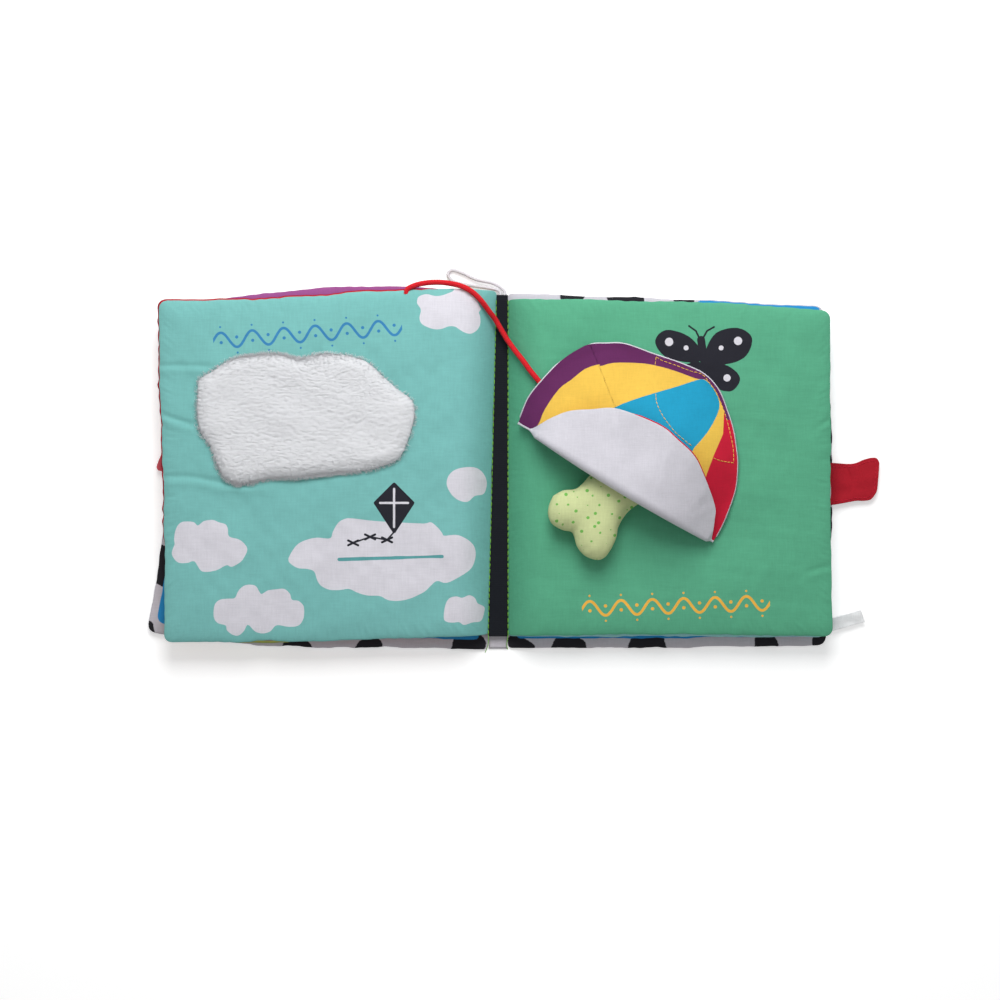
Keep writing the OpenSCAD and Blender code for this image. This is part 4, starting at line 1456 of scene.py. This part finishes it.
class BOOK_OT_spine(Operator):
    """Adds the spine: cover cloth, the stack of seams, ribbed tape and its stitches"""

    bl_idname = "book.add_spine"
    bl_label = "Spine"

    def execute(self, context):
        shade = colours()

        def strip(y0, y1, inset, pitch_y, cols):
            ys = np.linspace(y0, y1, int((y1 - y0) / pitch_y))
            left, right = spine_x(-1, ys) + inset, spine_x(1, ys) - inset
            t = np.linspace(0, 1, cols)
            xs = left[:, None] + (right - left)[:, None] * t
            return np.dstack([xs, np.repeat(ys[:, None], cols, 1)])

        def across(xy):
            left = spine_x(-1, xy[:, 1])
            return np.clip((xy[:, 0] - left) / (SPINE_RIGHT - left), 0, 1)

        cloth = strip(-99, SPINE_TOP + 1.2, 0.12, 1.2, 12)
        points, faces, which = slab(
            cloth, lambda xy: 1.2 + 0.12 * waves(xy, 14, 3), lambda xy: np.full(len(xy), 0.02))
        marks = {"spot": np.minimum(to_disc(points[:, :2], (1, 60), 13),
                                    to_disc(points[:, :2], (2, -20), 14))}
        piece = new_piece("spine_cloth", points, faces,
                          [woven("spine_cow_print", shade.cover, drawn=cow_print(False))],
                          marks=marks)
        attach(dress(piece, "cover_print", "cover_spine"), "spine")

        stack = strip(SPINE_BOTTOM + 1, SPINE_TOP - 1, 0.2, 1.6, 12)
        points, faces, which = slab(
            stack, lambda xy: np.full(len(xy), TAPE_Z - 0.05), lambda xy: np.full(len(xy), 1.35))
        piece = new_piece("seam_stack", points, faces, [woven("seam_cloth", shade.tape)])
        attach(dress(piece, "navy_cloth", "spine_binding"), "spine")

        ribs = strip(SPINE_BOTTOM + 0.6, SPINE_TOP + 0.6, -0.25, 0.26, 16)

        def tape_top(xy):
            a = across(xy)
            ridge = 0.07 * np.sin(2 * math.pi * xy[:, 1] / 1.05)
            sag = -0.35 * np.sin(np.pi * a)
            return TAPE_Z + TAPE_T + ridge + sag + 0.08 * waves(xy, 12, 8)

        points, faces, which = slab(ribs, tape_top, lambda xy: np.full(len(xy), TAPE_Z))
        piece = new_piece("ribbed_tape", points, faces,
                          [woven("tape_rib", shade.tape, pitch=0.5, crumple=0.05)])
        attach(dress(piece, "navy_tape", "gutter_tape"), "spine")

        thread = sizes().thread / MM
        stitch = sizes().stitch / MM
        finish = threaded("tape_thread", shade.thread, 0.5)
        for name, side, node in (("stitches_left", -1, "stitch_line_left"),
                                 ("stitches_right", 1, "stitch_line_right")):
            ys = np.linspace(-91, 97.4, 120)
            line = np.column_stack([
                spine_x(side, ys) + side * 0.3, ys, np.full(120, TAPE_Z + TAPE_T + 0.1)])
            parts = [thread_along(line, stitch, 0.8, thread)]
            tail = {
                -1: [(-6.0, -90.9, 5.2), (-5.9, -94, 4.9), (-6.4, -97.5, 3.8), (-7.9, -101.2, 2.6)],
                1: [(5.0, -90.9, 5.2), (4.6, -94, 4.9), (4.3, -96.5, 4.1), (4.8, -99.3, 3.2)],
            }[side]
            parts.append(tube(smooth_line(tail, 8), thread * 0.42, 6))
            points, faces = joined(parts)
            piece = new_piece(name, points, faces, [finish])
            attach(dress(piece, "green_thread", node), "spine")
        return {"FINISHED"}


class BOOK_OT_fleece(Operator):
    """Adds the curly fleece cloud on the sky page"""

    bl_idname = "book.add_fleece"
    bl_label = "Fleece cloud"

    def execute(self, context):
        pile = sizes().pile / MM
        curl = sizes().curl / MM
        drawn = smooth_line(paper(FLEECE, 23), 12, closed=True)
        middle = drawn.mean(0)
        run = run_of(drawn)
        out = (drawn - middle) / np.linalg.norm(drawn - middle, axis=1)[:, None]
        knobs = np.abs(np.sin(run * np.pi / (curl * 1.15) + 1.3 * waves(drawn, 25, 2)))
        drawn = drawn + out * (0.75 * knobs - 0.35)[:, None]
        n = len(drawn)
        # The paper runs clockwise, so the outline is turned to run counter-clockwise
        ring = drawn[::-1]
        cuts = [int(n * k) for k in (0.24, 0.37, 0.76, 0.9)]
        ring = np.roll(ring, -cuts[0], axis=0)
        marks = [0] + [c - cuts[0] for c in cuts[1:]] + [n]
        closed = np.vstack([ring, ring[:1]])
        sides = [closed[marks[i]:marks[i + 1] + 1] for i in range(4)]
        grid = grid_inside(sides, 0.48, (0.15, 0.4, 0.8))
        foot = PAGE_TOP - 0.25
        xy = grid.reshape(-1, 2)
        inward = -to_outline(xy, closed[:-1], 9)
        swirl = np.column_stack([waves(xy, 5, 31), waves(xy, 5, 32)]) * 0.5
        head = lumps(xy + swirl, curl, sizes().seed)
        small = lumps(xy + swirl, curl * 0.42, sizes().seed + 1)
        bulk = 0.5 + 2.6 * (1 - (1 - np.clip(inward / 7, 0, 1)) ** 2)
        bulk = bulk + 0.3 * waves(xy, 26, 12) * np.clip(inward / 5, 0, 1)
        rise = bulk + (pile * head + 0.15 * small) * np.clip(inward / 1.2, 0, 1)
        table = {"z": foot + rise, "head": head * 0.75 + small * 0.25}

        def face_z(some):
            return table["z"].copy()

        points, faces, which = closed_pad(
            grid, middle, face_z, lambda some: np.full(len(some), foot),
            lambda some: np.full(len(some), foot + 0.5), (0.97,))
        # The head mark is 1 on the curls and 0 between them, and the finish darkens the gaps with it as painted shade.
        head_mark = np.zeros(len(points))
        head_mark[:len(xy)] = table["head"]
        piece = new_piece("fleece_pile", points, faces, [fleece_finish()], marks={
            "head": head_mark})
        dress(piece, "fleece", "fleece_cloud")
        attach(piece, "left_half")

        rng = np.random.default_rng(sizes().seed + 9)
        count = sizes().fibres
        odds = 1 + 5 * np.exp(-np.maximum(inward, 0) / 1.5)
        picks = rng.choice(len(xy), count, p=odds / odds.sum())
        roots = np.column_stack([xy[picks], table["z"][picks] - 0.25])
        outward = (xy[picks] - middle) / np.linalg.norm(xy[picks] - middle, axis=1)[:, None]
        near = np.exp(-np.maximum(inward[picks], 0) / 1.5)[:, None]
        points, faces = fibres(roots, outward * near, sizes().fibre / MM, rng)
        fuzz = new_piece("fleece_fuzz", points, faces, [fleece_finish()], marks={
            "head": np.ones(len(points))})
        dress(fuzz, "fleece")
        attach(fuzz, "left_half")
        return {"FINISHED"}


class BOOK_OT_ball_flap(Operator):
    """Adds the round ball flap, folded back over the bone, with its topstitching"""

    bl_idname = "book.add_ball_flap"
    bl_label = "Ball flap"

    def execute(self, context):
        shade = colours()
        flap = BallFlap()
        printed_side, sewn_rows = flap.points(0.5)
        lining_side, _ = flap.points(-0.5)
        rows, cols = printed_side.shape[:2]
        show_edges(printed_side, lining_side, sewn_rows)
        index = np.arange(rows * cols).reshape(rows, cols)
        low = index + rows * cols
        up = grid_quads(index)[:, ::-1]
        down = grid_quads(low)
        ring = np.concatenate(
            [index[0, :-1], index[:-1, -1], index[-1, :0:-1], index[:0:-1, 0]])
        walls = np.stack([ring, np.roll(ring, -1),
                          np.roll(ring, -1) + rows * cols, ring + rows * cols], 1)
        faces = up.tolist() + down.tolist() + walls.tolist()
        free_walls = np.zeros(len(walls), int)
        free_walls[cols + rows - 2:2 * cols + rows - 3] = 1
        points = np.vstack([printed_side.reshape(-1, 3), lining_side.reshape(-1, 3)])
        c, _ = off_ball(points[ring][:, :2])
        purple_walls = (c > -60) & (c < -52) & (np.arange(len(ring)) < cols - 1)
        which = np.concatenate([
            np.zeros(len(up)), np.ones(len(down)), 1 - np.maximum(free_walls, purple_walls)])
        marks = ball_marks(printed_side, sewn_rows)
        marks["tuck"] = to_line(printed_side.reshape(-1, 3)[:, :2], smooth_line(paper(TUCK, 28), 6), 8)
        marks = {name: np.tile(values, 2) for name, values in marks.items()}
        # The tuck mark dents the print and also darkens it with painted shade.
        front = woven("ball_print", shade.yellow, crumple=0.14, tuck="tuck", drawn=printed(
            ("blue", shade.blue), ("red", shade.red), ("band", shade.purple)))
        lining = woven("ball_lining", shade.white, crumple=0.2)
        piece = new_piece("ball_flap", points, faces, [front, lining], which, marks)
        dress(piece, "ball_print", "ball_front", "ball_lining")
        bend(piece, 1)

        lines = (
            [(656, 357), (655, 365)],
            [(656, 357), (663, 361), (676, 365.5), (690, 371), (702, 374.5), (710, 384),
             (717, 395), (724, 411), (729, 429), (733, 448), (733.6, 463)],
            [(733.6, 463), (721, 461), (713, 458)],
            [(655.6, 393.6), (657, 404), (664, 418), (677, 434), (693, 447)],
        )
        parts = []
        for line in lines:
            flat = smooth_line(paper(line, 23), 8)
            for _ in range(2):
                height = flap.top_at(flat)
                flat = np.array([paper([p], z)[0] for p, z in zip(
                    smooth_line(line, 8), height)])
            path = np.column_stack([flat, flap.top_at(flat) + 0.12])
            parts.append(thread_along(path, 2.0, 0.5, 0.42))
        points, faces = joined(parts)
        piece = new_piece("ball_stitches", points, faces,
                          [threaded("ball_thread", shade.ball_thread, 0.5)])
        dress(piece, "green_thread")
        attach(piece, "right_half")
        return {"FINISHED"}


class BOOK_OT_bone(Operator):
    """Adds the stuffed bone with its dots"""

    bl_idname = "book.add_bone"
    bl_label = "Stuffed bone"

    def execute(self, context):
        end = paper(BONE_END, 27)
        other = 2 * BONE_MID - end
        points = np.vstack([end, other])
        half = len(end)
        sides = four_sides(points, [4, 15, half + 4, half + 15], 10)
        grid = grid_inside(sides, 0.7, (0.1, 0.3, 0.7, 1.2))
        closed = np.vstack([side[:-1] for side in sides])
        middle_z = PAGE_TOP + BONE_T / 2

        def swell(xy):
            inward = -to_outline(xy, closed, 14)
            q = np.clip(inward / 11.5, 0, 1)
            round_side = np.sqrt(np.maximum(0, 1 - (1 - q) ** 2.1))
            rim = np.exp(-((inward - 2) / 2.6) ** 2)
            return BONE_T / 2 * round_side, rim * 0.22 * waves(xy, 6, 17)

        rows, cols = grid.shape[:2]

        def soft(values):
            """Evens out the ridges where the padding of two sides meets."""
            field = values.reshape(rows, cols)
            for _ in range(14):
                inner = (field[:-2, 1:-1] + field[2:, 1:-1] + field[1:-1, :-2]
                         + field[1:-1, 2:]) / 4
                field = field.copy()
                field[2:-2, 2:-2] = 0.3 * field[2:-2, 2:-2] + 0.7 * inner[1:-1, 1:-1]
            return field.ravel()

        def top(xy):
            rise, gather = swell(xy)
            return middle_z + soft(rise) + gather + 0.2 * waves(xy, 16, 4)

        def low(xy):
            rise, gather = swell(xy)
            return np.maximum(PAGE_TOP + 0.1, middle_z - soft(rise) * 0.98 - gather)

        points, faces, which = slab(grid, top, low)
        rng = np.random.default_rng(sizes().seed + 4)
        best = np.full(len(points), 5.0)
        cosine = math.cos(math.radians(45))
        for i in range(-7, 8):
            for j in range(-5, 6):
                spot = BONE_MID + 6.0 * np.array(
                    [(i - j) * cosine, (i + j) * cosine]) + rng.uniform(-2.1, 2.1, 2)
                radius = rng.choice([0.45, 0.7, 0.9, 0.95])
                best = np.minimum(best, to_disc(points[:, :2], spot, radius))
        cloth = woven("bone_print", colours().bone, crumple=0.3, drawn=printed(
            ("dot", colours().bone_dots)))
        piece = new_piece("stuffed_bone", points, faces, [cloth], marks={"dot": best})
        dress(piece, "bone_print", "bone")
        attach(piece, "right_half")
        return {"FINISHED"}


class BOOK_OT_trims(Operator):
    """Adds the closing tab, its stitches, the care label and the closing patch"""

    bl_idname = "book.add_trims"
    bl_label = "Tab, label and patch"

    def execute(self, context):
        shade = colours()
        tab_z = 2.8
        sides = four_sides(paper(TAB, tab_z)[::-1], [0, 8, 12, 17], 6)
        grid = grid_inside(sides, 0.45, (0.1, 0.3, 0.6))

        def tab_top(xy):
            fold = crease(xy, smooth_line(paper([(846, 466), (851, 484), (848, 501)], 2.8), 6),
                          0.7, 0.8)
            fold = fold + crease(xy, smooth_line(
                paper([(858, 464), (863, 480), (870, 497)], 2.8), 6), 0.5, 1.0)
            return tab_z + 0.85 + fold + 0.25 * waves(xy, 11, 6)

        points, faces, which = slab(
            grid, tab_top, lambda xy: tab_z - 0.7 + 0.15 * waves(xy, 14, 7))
        piece = new_piece("red_tab", points, faces, [woven("tab_cloth", shade.tab, crumple=0.25)])
        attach(dress(piece, "red_cloth", "closure_tab"), "right_half")

        inset = [(833, 466.5), (848, 467), (857, 466), (864, 463), (871, 461), (874.5, 461.8),
                 (876, 466), (875, 478), (874, 489), (871.5, 494), (868, 497), (862, 498),
                 (855, 498), (845, 500), (833, 501.5)]
        flat = smooth_line(paper(inset, 3.6), 6)
        path = np.column_stack([flat, tab_top(flat) + 0.05])
        points, faces = thread_along(path, 2.1, 0.6, 0.42)
        piece = new_piece("tab_stitches", points, faces,
                          [threaded("tab_thread", shade.red, 0.5)])
        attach(dress(piece, "red_cloth"), "right_half")

        sides = four_sides(paper(LABEL, 2.8)[::-1], [0, 2, 3, 5], 3)
        grid = grid_inside(sides, 0.6, (0.1, 0.3))
        points, faces, which = slab(
            grid, lambda xy: 3.0 + 0.3 * waves(xy, 9, 5),
            lambda xy: 2.55 + 0.3 * waves(xy, 9, 5))
        piece = new_piece("sewn_label", points, faces,
                          [woven("label_satin", shade.label, pitch=0.3, crumple=0.05, sheen=0.3)])
        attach(dress(piece, "label_ribbon", "care_label"), "right_half")

        sides = four_sides(paper(PATCH, 2.8), [1, 3, 4, 0], 3)
        grid = grid_inside(sides, 0.4, (0.1, 0.3))
        points, faces, which = slab(
            grid, lambda xy: 3.5 + 0.1 * waves(xy, 6, 5), lambda xy: 2.1 + 0 * xy[:, 0])
        piece = new_piece("edge_patch", points, faces, [woven("patch_cloth", srgb(214, 92, 104))])
        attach(dress(piece, "red_cloth", "closure_patch"), "left_half")

        finish = Finish("hook_tape")
        place = finish.place(kept=True)
        hooks = finish.cells(place, 0.7, randomness=0.3)
        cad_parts["tab_fastener"].data.materials.clear()
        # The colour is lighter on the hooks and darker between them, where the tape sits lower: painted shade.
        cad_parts["tab_fastener"].data.materials.append(finish.done(
            finish.shaded(shade.tape, (hooks - 0.4) * -0.6), 0.7 + hooks * 0.1, hooks * -0.4,
            specular_ior_level=0.3))
        return {"FINISHED"}


class BOOK_OT_stage(Operator):
    """Adds the pale floor, the world and the lamps"""

    bl_idname = "book.add_stage"
    bl_label = "Stage"

    def execute(self, context):
        finish = Finish("floor_white")
        rays = finish.node("ShaderNodeLightPath")
        seen = rays
        for name in ("Is Glossy Ray", "Is Transmission Ray"):
            seen = seen.most(Signal(finish, rays.socket.node.outputs[name]))
        matt = finish.node("ShaderNodeBsdfDiffuse", sockets={"Color": (0.9, 0.9, 0.9)})
        glow = finish.node("ShaderNodeEmission", sockets={
            "Color": (1, 1, 1), "Strength": seen * 0.38})
        both = finish.node("ShaderNodeAddShader", sockets={0: matt, 1: glow})
        finish.node("ShaderNodeOutputMaterial", sockets={"Surface": both})
        size = 3.0
        mesh = bpy.data.meshes.new("pale_floor")
        mesh.from_pydata([(-size, -size, 0), (size, -size, 0), (size, size, 0), (-size, size, 0)],
                         [], [(0, 1, 2, 3)])
        mesh.materials.append(finish.material)
        floor = bpy.data.objects.new("pale_floor", mesh)
        floor.location.z = -0.0004
        context.scene.collection.objects.link(floor)

        world = bpy.data.worlds.new("white_room")
        world.use_nodes = True
        tree = world.node_tree
        tree.nodes.clear()
        path = tree.nodes.new("ShaderNodeLightPath")
        dim = tree.nodes.new("ShaderNodeBackground")
        dim.inputs["Strength"].default_value = 0.34
        bright = tree.nodes.new("ShaderNodeBackground")
        bright.inputs["Strength"].default_value = 1.0
        for shade in (dim, bright):
            shade.inputs["Color"].default_value = (1, 1, 1, 1)
        mix = tree.nodes.new("ShaderNodeMixShader")
        out = tree.nodes.new("ShaderNodeOutputWorld")
        tree.links.new(path.outputs["Is Camera Ray"], mix.inputs[0])
        tree.links.new(dim.outputs[0], mix.inputs[1])
        tree.links.new(bright.outputs[0], mix.inputs[2])
        tree.links.new(mix.outputs[0], out.inputs["Surface"])
        context.scene.world = world

        for name, place, size, power in (("key", (0.0, 0.56, 0.62), 0.5, 6.2),
                                         ("fill", (0.2, -0.2, 1.6), 1.2, 2.0)):
            data = bpy.data.lights.new(name, "AREA")
            data.shape = "SQUARE"
            data.size = size
            data.energy = power
            lamp = bpy.data.objects.new(name, data)
            lamp.location = place
            lamp.rotation_euler = (-Vector(place)).to_track_quat("-Z", "Y").to_euler()
            context.scene.collection.objects.link(lamp)
        context.scene.view_settings.view_transform = "Standard"
        return {"FINISHED"}


STEPS = (
    BOOK_OT_camera, BOOK_OT_tether, BOOK_OT_loop, BOOK_OT_cover, BOOK_OT_inner_leaves,
    BOOK_OT_sky_page, BOOK_OT_green_page, BOOK_OT_spine, BOOK_OT_fleece, BOOK_OT_ball_flap,
    BOOK_OT_bone, BOOK_OT_trims, BOOK_OT_stage,
)


class BOOK_PT_panel(Panel):
    """Lists the pieces of the book, and their sizes and colours"""

    bl_idname = "BOOK_PT_panel"
    bl_label = "Cloth activity book"
    bl_space_type = "VIEW_3D"
    bl_region_type = "UI"
    bl_category = "Book"

    def draw(self, context):
        for group in (context.scene.book_sizes, context.scene.book_colours):
            box = self.layout.box()
            for name in group.__annotations__:
                box.prop(group, name)
        for step in STEPS:
            self.layout.operator(step.bl_idname)


CLASSES = (BookColours, BookSizes, *STEPS, BOOK_PT_panel)


def register():
    for kind in CLASSES:
        bpy.utils.register_class(kind)
    bpy.types.Scene.book_colours = PointerProperty(type=BookColours)
    bpy.types.Scene.book_sizes = PointerProperty(type=BookSizes)


def unregister():
    del bpy.types.Scene.book_sizes
    del bpy.types.Scene.book_colours
    for kind in reversed(CLASSES):
        bpy.utils.unregister_class(kind)


def main():
    register()
    for step in STEPS:
        group, name = step.bl_idname.split(".")
        getattr(getattr(bpy.ops, group), name)()


if __name__ == "__main__":
    main()
